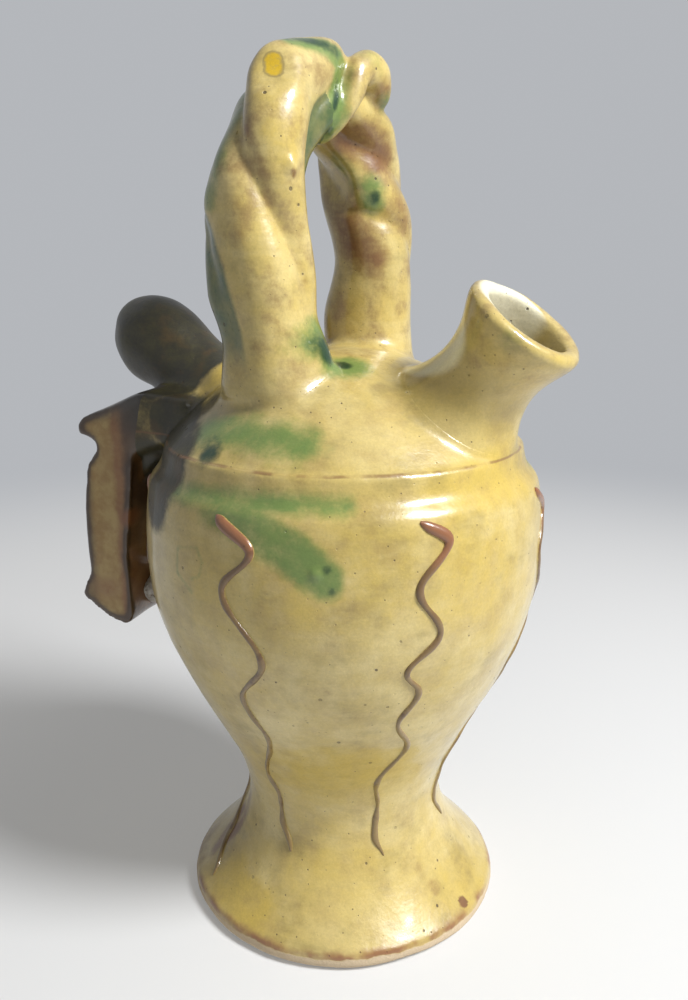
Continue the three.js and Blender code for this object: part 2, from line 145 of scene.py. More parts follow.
def combine(obj, other, operation, keepOther=False):
    applyModifier(obj, "BOOLEAN", object=other, operation=operation, solver="MANIFOLD")
    if not keepOther:
        bpy.data.objects.remove(other)
    return obj


def copyOf(obj, name):
    selectOnly(obj)
    bpy.ops.object.duplicate()
    return named(bpy.context.active_object, name)


# Writes a mesh's place, turn and scale into its vertices.
def settle(obj, matrix=None):
    if matrix:
        obj.matrix_world = matrix
    selectOnly(obj)
    bpy.ops.object.transform_apply(location=True, rotation=True, scale=True)
    return obj


# The row of a table that ends the step in which a value lies.
def rowAfter(table, at):
    return next((n for n in range(1, len(table)) if table[n][0] >= at), len(table) - 1)


def tableAt(table, at):
    i = rowAfter(table, at)
    (start, *low), (end, *high) = table[i - 1], table[i]
    return [a + (b - a) * (at - start) / (end - start) for a, b in zip(low, high)]


def bend(start, first, second, end, steps):
    points = []
    for i in range(steps + 1):
        t = i / steps
        weights = ((1 - t) ** 3, 3 * t * (1 - t) ** 2, 3 * t * t * (1 - t), t ** 3)
        points.append(tuple(sum(w * p[k] for w, p in zip(weights, (start, first, second, end)))
                            for k in (0, 1)))
    return points


# Moves a rising profile sideways, outwards for a positive distance.
def offset(profile, distance, least=0.4):
    moved = []
    for i, (radius, height) in enumerate(profile):
        before = Vector(profile[max(i - 1, 0)])
        after = Vector(profile[min(i + 1, len(profile) - 1)])
        along = (after - before).normalized()
        moved.append((max(radius + along.y * distance, least), height - along.x * distance))
    return moved


def finishEditing():
    bpy.ops.mesh.select_all(action="SELECT")
    bpy.ops.mesh.normals_make_consistent(inside=False)
    bpy.ops.object.mode_set(mode="OBJECT")


# A profile in millimetres, thrown as on a wheel: a disc pulled up and pinched ring by ring.
def thrown(name, profile, segments, frameMatrix=None):
    radius, height = profile[0]
    obj = newMesh(name, bpy.ops.mesh.primitive_circle_add, vertices=segments,
                  radius=radius * mm, fill_type="NGON", location=(0, 0, height * mm))
    bpy.ops.object.mode_set(mode="EDIT")
    bpy.ops.mesh.select_all(action="SELECT")
    for nextRadius, nextHeight in profile[1:]:
        rise = (0, 0, (nextHeight - height) * mm)
        bpy.ops.mesh.extrude_region_move(TRANSFORM_OT_translate={"value": rise})
        ratio = nextRadius / radius
        bpy.ops.transform.resize(value=(ratio, ratio, 1), center_override=(0, 0, nextHeight * mm))
        radius, height = nextRadius, nextHeight
    finishEditing()
    settle(obj)
    return settle(obj, frameMatrix) if frameMatrix else obj


# A bar drawn through rings of points: a disc extruded, its rim laid on each ring in turn.
def drawn(name, rings):
    obj = newMesh(name, bpy.ops.mesh.primitive_circle_add, vertices=len(rings[0]), radius=0.01,
                  fill_type="NGON")
    bpy.ops.object.mode_set(mode="EDIT")
    bpy.ops.mesh.select_all(action="SELECT")
    for i, ring in enumerate(rings):
        if i > 0:
            bpy.ops.mesh.extrude_region_move()
        mesh = bmesh.from_edit_mesh(obj.data)
        cap = next(face for face in mesh.faces if face.select)
        for vertex, place in zip(cap.verts, ring):
            vertex.co = place
        bmesh.update_edit_mesh(obj.data)
    finishEditing()
    return obj


# The thrown body. Each curve is its start, two handles, its end and its number of steps.

body = {
    "segments": 160,
    "foot": [(53.6, 0), (55.3, 1.96)],
    "footCurve": [(54.4, 5.6), (48.3, 11.1), (34.6, 23.56), (34.6, 38), 26],
    "bellyCurve": [(34.6, 38), (34.6, 61.92), (66, 87.68), (66, 130), 40],
    "shoulderCurve": [(66, 130), (66, 139.31), (65.2, 149.11), (63.5, 153.3), 10],
    "collarCurve": [(62.1, 155.1), (59.2, 157.27), (59.3, 160.44), (58.6, 164.4), 8],
    "domeCurve": [(57.6, 164.4), (49.4, 173.5), (29.9, 193.8), (0.4, 193.8), 30],
    "wall": 5,
    "baseThickness": 7,
    "liningSegments": 96,
    "waistZ": 38,
    "seamZ": 164.4,
    "shellOver": 1.2,
}
domeProfile = bend(*body["domeCurve"])
bodyProfile = (body["foot"] + bend(*body["footCurve"]) + bend(*body["bellyCurve"])[1:]
               + bend(*body["shoulderCurve"])[1:] + bend(*body["collarCurve"]) + domeProfile)
form = thrown("form", bodyProfile, body["segments"])

mouth = {
    "reach": 43,
    "tilt": 53.5,
    "segments": 96,
    "root": [(24.5, -15)],
    "rootCurve": [(23.5, -5), (18.8, 0), (15.2, 7.3), (15.2, 14.9), 12],
    "rimCurve": [(15.2, 14.9), (15.2, 21.6), (18.6, 26.1), (19.1, 30.5), 8],
    "lipOutside": (2.9, 2.9),
    "lipInside": (3.1, 1.5),
    "bore": [(12.8, -15)],
    "throatCurve": [(12.8, 14.9), (12.6, 20.9), (12.5, 26.5), (13.1, 31.9), 8],
    "boreEnd": 38.4,
}
spout = {
    "reach": 47,
    "tilt": 27,
    "segments": 96,
    "boreSegments": 48,
    "root": [(17, -20)],
    "rootCurve": [(17, 0), (13.9, 5), (12.3, 8.9), (12.3, 13.85), 8],
    "bulbCurve": [(12.3, 13.85), (12.3, 23.3), (16, 28.8), (16, 38.2), 12],
    "tipCurve": [(16, 38.2), (16, 45.4), (11.5, 51.5), (7.5, 54), 12],
    "tip": [(5.5, 55.4)],
    "inside": [(8.5, -20), (8.5, 13.85), (11.2, 27.7), (12.2, 38.2), (8.7, 46.5), (3, 51.6),
               (3, 58)],
}


# A frame standing on the dome in the XZ plane, tilted to the side.
def domeFrame(reach, tilt, side):
    angle = math.radians(tilt)
    direction = Vector((side * math.cos(angle), 0, math.sin(angle)))
    height = tableAt([(-r, z) for r, z in domeProfile], -reach)[0]
    return (Matrix.Translation(Vector((side * reach, 0, height)) * mm)
            @ direction.to_track_quat("Z", "Y").to_matrix().to_4x4())


def lipArc(centre, half, fromDegrees, toDegrees, steps=6):
    arc = []
    for i in range(1, steps + 1):
        angle = math.radians(fromDegrees + (toDegrees - fromDegrees) * i / steps)
        arc.append((centre[0] + half[0] * math.cos(angle), centre[1] + half[1] * math.sin(angle)))
    return arc


mouthFrame = domeFrame(mouth["reach"], mouth["tilt"], 1)
spoutFrame = domeFrame(spout["reach"], spout["tilt"], -1)
rimRadius, rimHeight = mouth["rimCurve"][3]
crown = rimRadius - mouth["lipOutside"][0]
throat = bend(*mouth["throatCurve"])
mouthOutside = (mouth["root"] + bend(*mouth["rootCurve"]) + bend(*mouth["rimCurve"])[1:]
                + lipArc((crown, rimHeight), mouth["lipOutside"], 0, 90))
mouthInside = (mouth["bore"] + throat
               + lipArc((crown, throat[-1][1]), mouth["lipInside"], 180, 90)
               + [(crown, mouth["boreEnd"])])
spoutOutside = (bend(*spout["rootCurve"]) + bend(*spout["bulbCurve"])[1:]
                + bend(*spout["tipCurve"])[1:] + spout["tip"])


# The handle: three clay rolls twisted together, drawn along one arch.

handle = {
    "ropeRadius": 14.2,
    "nearReach": 30,
    "farReach": 24.5,
    "crestZ": 268,
    "footDrop": 74.2,
    "archSteps": 400,
    # x and y as shares of the rope's radius and the legs' reach, and the drop as a share
    "arch": [(-0.46, -0.93, 1.16), (-0.56, -1.02, 0.72), (-0.67, -1.03, 0.5), (-0.49, -0.96, 0.16),
             (-0.39, -0.64, 0.015), (-0.46, 0, -0.04), (-0.56, 0.5, 0.09), (-0.49, 0.8, 0.25),
             (-0.31, 1, 0.58), (-0.35, 1.02, 1.16)],
    "nearGrowth": 0.04,
    "legFlare": 0.24,
    "flareShare": 0.16,
    "crestPinch": 0.22,
    "pinchAt": 0.53,
    "pinchWidth": 0.07,
    # share of the arch, then degrees of the grooves back to front, front to middle, middle to back
    "grooves": [(0, 140, 45, -95), (0.08, 124, 27, -108), (0.27, 40, -46, -150),
                (0.4, 22, -140, -245), (0.5, -5, -165, -270), (0.62, -85, -200, -320),
                (0.7, -140, -250, -375), (0.79, -200, -375, -465), (1, -212, -400, -485)],
    # share of the arch, and the depths of those grooves there
    "grooveDepths": [(0, 3, 1.2, 2), (0.12, 4.4, 2.4, 3), (0.3, 4.2, 3.6, 3), (0.45, 4.4, 4.6, 4),
                     (0.58, 4, 4.2, 4), (0.68, 2.4, 2.6, 2.4), (1, 1.4, 1.4, 1.4)],
    "crownRoundness": 0.95,
    "crownSteps": 14,
    "rings": 96,
    "wedgeSteps": 24,
    "wedgeReach": 1.75,
    "wedgeOverrun": 15,
    "loopRadius": 4,
    "loopRings": 44,
    "loopSides": 16,
    "loopFacesAt": 0.55,
    # share of the arch, degrees round it, and how far the loop stands off
    "loop": [(0.456, 86, 0.1), (0.465, 75, 0.25), (0.485, 50, 0), (0.505, 15, 0),
             (0.52, -17, 0.12), (0.537, -34, 0.55), (0.551, -33, 0.55), (0.561, -29, 0.15),
             (0.568, -25, -0.8)],
    "loopTaper": [(0, 0.5), (0.2, 0.75), (0.45, 0.95), (0.6, 1.15), (0.8, 1.5), (1, 1.25)],
    # the near leg, where the back roll's colour is found
    "legLow": 176,
    "legAcross": 30,
    "legReach": 24,
    "legShare": 0.45,
}


# A smooth line through points, as a list of even steps and the directions at them.
def throughPoints(points, steps, fineSteps=40):
    points = [Vector(p) for p in points]
    padded = [2 * points[0] - points[1]] + points + [2 * points[-1] - points[-2]]
    fine = []
    for before, start, end, after in zip(padded, padded[1:], padded[2:], padded[3:]):
        gaps = [math.sqrt((b - a).length) for a, b in ((before, start), (start, end), (end, after))]
        leave = ((start - before) / gaps[0] - (end - before) / (gaps[0] + gaps[1])
                 + (end - start) / gaps[1]) * gaps[1]
        arrive = ((end - start) / gaps[1] - (after - start) / (gaps[1] + gaps[2])
                  + (after - end) / gaps[2]) * gaps[1]
        for i in range(fineSteps):
            t = i / fineSteps
            fine.append(start * (2 * t ** 3 - 3 * t * t + 1) + end * (3 * t * t - 2 * t ** 3)
                        + leave * (t ** 3 - 2 * t * t + t) + arrive * (t ** 3 - t * t))
    fine.append(points[-1])
    lengths = [(0,)]
    for a, b in zip(fine, fine[1:]):
        lengths.append((lengths[-1][0] + (b - a).length,))
    line = []
    for i in range(steps + 1):
        wanted = lengths[-1][0] * i / steps
        k = rowAfter(lengths, wanted)
        t = (wanted - lengths[k - 1][0]) / (lengths[k][0] - lengths[k - 1][0])
        line.append((fine[k - 1].lerp(fine[k], t), (fine[k] - fine[k - 1]).normalized()))
    return line


archLine = throughPoints([(x * handle["ropeRadius"],
                           y * handle["farReach" if y > 0 else "nearReach"],
                           handle["crestZ"] - drop * handle["footDrop"])
                          for x, y, drop in handle["arch"]], handle["archSteps"])


def archFrame(share):
    centre, tangent = archLine[round(share * handle["archSteps"])]
    across = (Vector((1, 0, 0)) - tangent * tangent.x).normalized()
    return centre, across, tangent.cross(across)


# The grooves' angles, eased through the table's rows, with the first one again a turn on.
def grooveAngles(share):
    rows = handle["grooves"]
    i = rowAfter(rows, share)
    (start, *low), (end, *high) = rows[i - 1], rows[i]
    half = (end - start) / 2
    previous, before = (rows[i - 2][0], rows[i - 2][1:]) if i > 1 else (end, high)
    following, after = (rows[i + 1][0], rows[i + 1][1:]) if i + 1 < len(rows) else (start, low)
    wp, wn = half / (start - previous), half / (following - end)
    t = (share - start) / (end - start)
    weights = (-wp * t ** 3 + 2 * wp * t * t - wp * t,
               (1 + wp) * t ** 3 + (-1.5 - 2 * wp) * t * t + (wp - 0.5) * t + 1,
               (-1 - wn) * t ** 3 + (1.5 + wn) * t * t + 0.5 * t,
               wn * t ** 3 - wn * t * t)
    angles = [sum(w * v for w, v in zip(weights, values))
              for values in zip(before, low, high, after)]
    return angles + [angles[0] - 360]


def ropeScale(share):
    footward = max(0, 1 - min(share, 1 - share) / handle["flareShare"])
    pinch = math.exp(-((share - handle["pinchAt"]) / handle["pinchWidth"]) ** 2)
    return (1 + handle["nearGrowth"] * (1 - share) + handle["legFlare"] * footward ** 2
            - handle["crestPinch"] * pinch)


def roundArch(share, degrees, distance):
    centre, across, side = archFrame(share)
    angle = math.radians(degrees)
    return (centre + across * math.cos(angle) * distance + side * math.sin(angle) * distance) * mm


def ropeRing(share, grown=0):
    angles = grooveAngles(share)
    depths = tableAt(handle["grooveDepths"], share)
    ring = []
    for roll in (2, 1, 0):
        start, end = angles[roll + 1], angles[roll]
        for k in range(1, handle["crownSteps"] + 1):
            t = 2 * k / handle["crownSteps"] - 1
            degrees = start + (end - start) * k / handle["crownSteps"]
            depth = depths[roll] if t > 0 else depths[(roll + 1) % 3]
            height = handle["ropeRadius"] - depth * (1 - (1 - t * t) ** handle["crownRoundness"])
            ring.append(roundArch(share, degrees, height * ropeScale(share) + grown))
    return ring


def rope(name, grown=0):
    rings = handle["rings"]
    return drawn(name, [ropeRing(i / rings, grown) for i in range(rings + 1)])


# The wedge between two grooves, from the arch's middle to well outside the rope.
def rollWedge(name, roll):
    rings = []
    for i in range(handle["rings"] + 1):
        share = i / handle["rings"]
        start, end = grooveAngles(share)[roll + 1], grooveAngles(share)[roll]
        ring = [archFrame(share)[0] * mm]
        for k in range(handle["wedgeSteps"] + 1):
            ring.append(roundArch(share, start + (end - start) * k / handle["wedgeSteps"],
                                  handle["ropeRadius"] * handle["wedgeReach"]))
        rings.append(ring)
    before, after = (archLine[i][1] * handle["wedgeOverrun"] * mm for i in (0, -1))
    return drawn(name, [[spot - before for spot in rings[0]]] + rings
                 + [[spot + after for spot in rings[-1]]])


def loopTube(name, grown=0):
    radius, count, sides = handle["loopRadius"], handle["loopRings"], handle["loopSides"]
    points = [roundArch(share, degrees, handle["ropeRadius"] * ropeScale(share) + lift * radius)
              for share, degrees, lift in handle["loop"]]
    rings = []
    for i, (centre, tangent) in enumerate(throughPoints(points, count)):
        side = tangent.cross(centre - archFrame(handle["loopFacesAt"])[0] * mm).normalized()
        up = side.cross(tangent)
        reach = (radius * tableAt(handle["loopTaper"], i / count)[0] + grown) * mm
        turns = [2 * math.pi * k / sides for k in range(sides)]
        rings.append([centre + side * reach * math.cos(turn) + up * reach * math.sin(turn)
                      for turn in turns])
    return drawn(name, rings)


# The plaque under the spout, its web and its prop.

plaque = {
    "turn": 12,
    "width": 36,
    "back": 75.2,
    "thickness": 17.3,
    "lowZ": 92.9,
    "height": 85.5,
    # corners of the side outline as shares of thickness and height; a pair is a curve and its end
    "outline": [[(-0.46, 1)], [(0.06, 0.947), (0.827, 0.885)], [(1.127, 0.854), (1.012, 0.807)],
                [(0.538, 0.792), (0.63, 0.743)], [(0.942, 0.684), (0.942, 0.626)], [(1.012, 0.5)],
                [(0.971, 0.216)], [(1.081, 0.17), (1.185, 0.117)], [(1.197, 0.096), (1.087, 0.088)],
                [(0.653, 0.018), (0.19, 0)], [(-0.01, 0.012), (0, 0.07)], [(0.035, 0.304)],
                [(-0.09, 0.538)], [(-0.254, 0.819)]],
    "curveSteps": 6,
    # the web's three slabs: name, width, and the outline as reach and height in mm
    "web": [("webFill", 23, [(53.6, 170.4), (74.7, 170.4), (78.2, 134.795), (71.2, 147.62),
                             (53.6, 164.72)]),
            ("shoulderFill", 34, [(49.6, 176.4), (66, 177.4), (74.2, 173.4), (75.2, 154.4),
                                  (66.2, 158.4), (49.6, 162.4)]),
            ("coreFill", 7, [(53.6, 166.4), (75.2, 162.4), (78.2, 114.275), (53.6, 114.275)])],
}
plaqueTurn = Matrix.Rotation(math.pi + math.radians(plaque["turn"]), 4, "Z")


def plaqueSide():
    points = []
    for step in plaque["outline"]:
        spots = [Vector((plaque["back"] + a * plaque["thickness"],
                         plaque["lowZ"] + u * plaque["height"])) for a, u in step]
        if len(spots) == 1:
            points.append(spots[0])
            continue
        start, (pull, end) = points[-1], spots
        for i in range(1, plaque["curveSteps"] + 1):
            t = i / plaque["curveSteps"]
            points.append(start * (1 - t) ** 2 + pull * 2 * t * (1 - t) + end * t * t)
    return points


def swollen(outline, distance):
    moved = []
    for i, here in enumerate(outline):
        along = (outline[(i + 1) % len(outline)] - outline[i - 1]).normalized()
        moved.append(here + Vector((-along.y, along.x)) * distance)
    return moved


# An outline in the plaque's plane, drawn across its width on the spout's side of the jug.
def upright(name, width, outline):
    return drawn(name, [[plaqueTurn @ Vector((x, side * width / 2, z)) * mm for x, z in outline]
                        for side in (-1, 1)])


fills = [thrown("mouthFill", mouthOutside, mouth["segments"], mouthFrame),
         thrown("spoutFill", spout["root"] + spoutOutside, spout["segments"], spoutFrame),
         rope("ropeFill"), loopTube("loopFill"),
         upright("plaqueFill", plaque["width"], plaqueSide())]
for fill in fills + [upright(*slab) for slab in plaque["web"]]:
    combine(form, fill, "UNION")
for bore in (thrown("mouthBore", mouthInside, mouth["segments"], mouthFrame),
             thrown("spoutBore", spout["inside"], spout["boreSegments"], spoutFrame)):
    combine(form, bore, "DIFFERENCE")
print("the clay form is joined:", len(form.data.polygons), "faces")

clay = {
    "grain": 0.88,
    "chosenGrain": 0.75,
    "wetness": 0.5,
    "wetPasses": 6,
    "wiping": 0.6,
    "hollowPasses": 50,
    # where parts are wiped together: centre, inner and outer reach, passes
    "joins": {
        "nearLeg": ((-6, -30, 187), 21, 32, 150),
        "farLeg": ((-5, 25, 187), 20, 30, 130),
        "farRolls": ((-1, 14, 238), 13, 24, 12),
        "mouthRoot": ((43, 0, 184), 20, 26, 40),
        "spoutRoot": ((-48, 0, 183), 19, 25, 40),
        "webTop": ((-66, -16, 170), 17, 27, 90),
        "webShoulder": ((-50, -24, 168), 13, 22, 60),
        "knob": ((-96, -20, 165), 4, 9, 10),
    },
    "pressSpread": 1.6,
    # thumb marks and lumps: place, reach, and how far it is pressed in or drawn out
    "presses": [
        ((-1.1, -34.5, 271.8), 6, (-0.4, 1.6, -1.3)), ((6.4, -23.8, 270.4), 8, (-1.6, 0, 0)),
        ((5, -20, 262), 8, (-1.4, 0, 0)), ((-5, -34, 277), 8, (-0.4, -1.2, 2.4)),
        ((-4, -24, 281), 8, (0, 0, 0.8)), ((-21, -38.5, 228), 10, (-2.6, -1.6, 0)),
        ((-20, -39, 212), 11, (-3.6, -2.2, 0)), ((63, -8, 177), 9, (-2, 0, 0.8)),
        ((-91, -10, 195), 12, (1.8, 0.3, 1.8)), ((1, -11, 278), 7, (0, 0, 1.1)),
        ((68, 2, 212), 7, (-0.5, 0, -0.7)), ((48, -2, 214), 7, (-0.4, 0, 0.6)),
        ((-19, -39, 260), 11, (3, 1.9, 0)), ((-22, -39, 238), 7, (-2.2, -1.4, 0)),
        ((2, -8, 279), 7, (1, 0.6, 1.8)), ((5, 14, 262), 9, (1.8, 1.2, 0)),
        ((-11.5, 8, 247), 8, (3.2, 2, 0)), ((8, -24, 195), 8, (2.4, 1.5, 0)),
        ((-96, -8, 190), 6, (-0.8, -0.4, 0)), ((-80, -14, 183), 8, (0.9, 0.6, 0.9)),
        ((-84, -10, 205), 7, (0.3, 0.2, -1)), ((-14, 15, 203), 12, (-2.9, -1.8, 0)),
        ((-9, 3, 244), 9, (1.4, 0.9, 0)), ((5.6, -35.7, 246), 2.4, (1.1, -0.4, -0.3)),
        ((51, 14, 205), 9, (0.5, 0.3, 0.8)), ((60, -12, 205), 8, (0.6, -0.7, -0.2)),
        ((-75, -34, 150), 20, (0, 0.8, 0)), ((27.9, -59.4, 138.9), 1.8, (0.2, -0.5, 0)),
    ],
    # names, sizes and depths of the unevenness in mm
    "unevenness": [("throwing", 46, 1.3), ("fingers", 15, 0.55)],
}
applyModifier(form, "REMESH", mode="VOXEL", voxel_size=clay["grain"] * mm)
applyModifier(form, "SMOOTH", factor=clay["wetness"], iterations=clay["wetPasses"])
print("the clay form is smoothed:", len(form.data.polygons), "faces")


def vertexRows(obj, kind="co"):
    flat = np.empty(len(obj.data.vertices) * 3, np.float32)
    obj.data.vertices.foreach_get(kind, flat)
    return flat.reshape(-1, 3)


def fade(distance, inner, outer):
    share = np.clip((outer - distance) / (outer - inner), 0, 1)
    return share * share * (3 - 2 * share)


# Wipes the clay smooth; the passes were chosen at another grain and are scaled to this one.
def wipe(obj, passes, **settings):
    passes = round(passes * clay["chosenGrain"] ** 2 / clay["grain"] ** 2)
    applyModifier(obj, "SMOOTH", factor=clay["wiping"], iterations=passes, **settings)


def wipeJoin(obj, name, centre, inner, outer, passes):
    weights = fade(np.linalg.norm(vertexRows(obj) / mm - centre, axis=1), inner, outer)
    group = obj.vertex_groups.new(name=name)
    for i in np.nonzero(weights)[0]:
        group.add([int(i)], float(weights[i]), "REPLACE")
    wipe(obj, passes, vertex_group=name)
    obj.vertex_groups.remove(obj.vertex_groups[name])


for name, join in clay["joins"].items():
    wipeJoin(form, name, *join)

places = vertexRows(form)
for centre, reach, move in clay["presses"]:
    strength = fade(np.linalg.norm(places / mm - centre, axis=1), 0, clay["pressSpread"] * reach)
    places += strength[:, None] * np.array(move, np.float32) * mm
form.data.vertices.foreach_set("co", places.ravel())
form.data.update()


def roughen(obj, name, size, strength):
    texture = bpy.data.textures.new(name, "CLOUDS")
    texture.noise_scale = size * mm
    texture.noise_depth = 1
    applyModifier(obj, "DISPLACE", texture=texture, texture_coords="LOCAL",
                  strength=strength * mm, mid_level=0.5)
    bpy.data.textures.remove(texture)


for lumps in clay["unevenness"]:
    roughen(form, *lumps)
print("the clay form is worked over")


# How deep each spot lies in a hollow, in mm, where the glaze runs together; edges are below zero.
def hollowDepths(obj):
    soft = copyOf(obj, "soft")
    wipe(soft, clay["hollowPasses"])
    depth = ((vertexRows(soft) - vertexRows(obj)) * vertexRows(obj, "normal")).sum(1) / mm
    bpy.data.objects.remove(soft)
    return depth


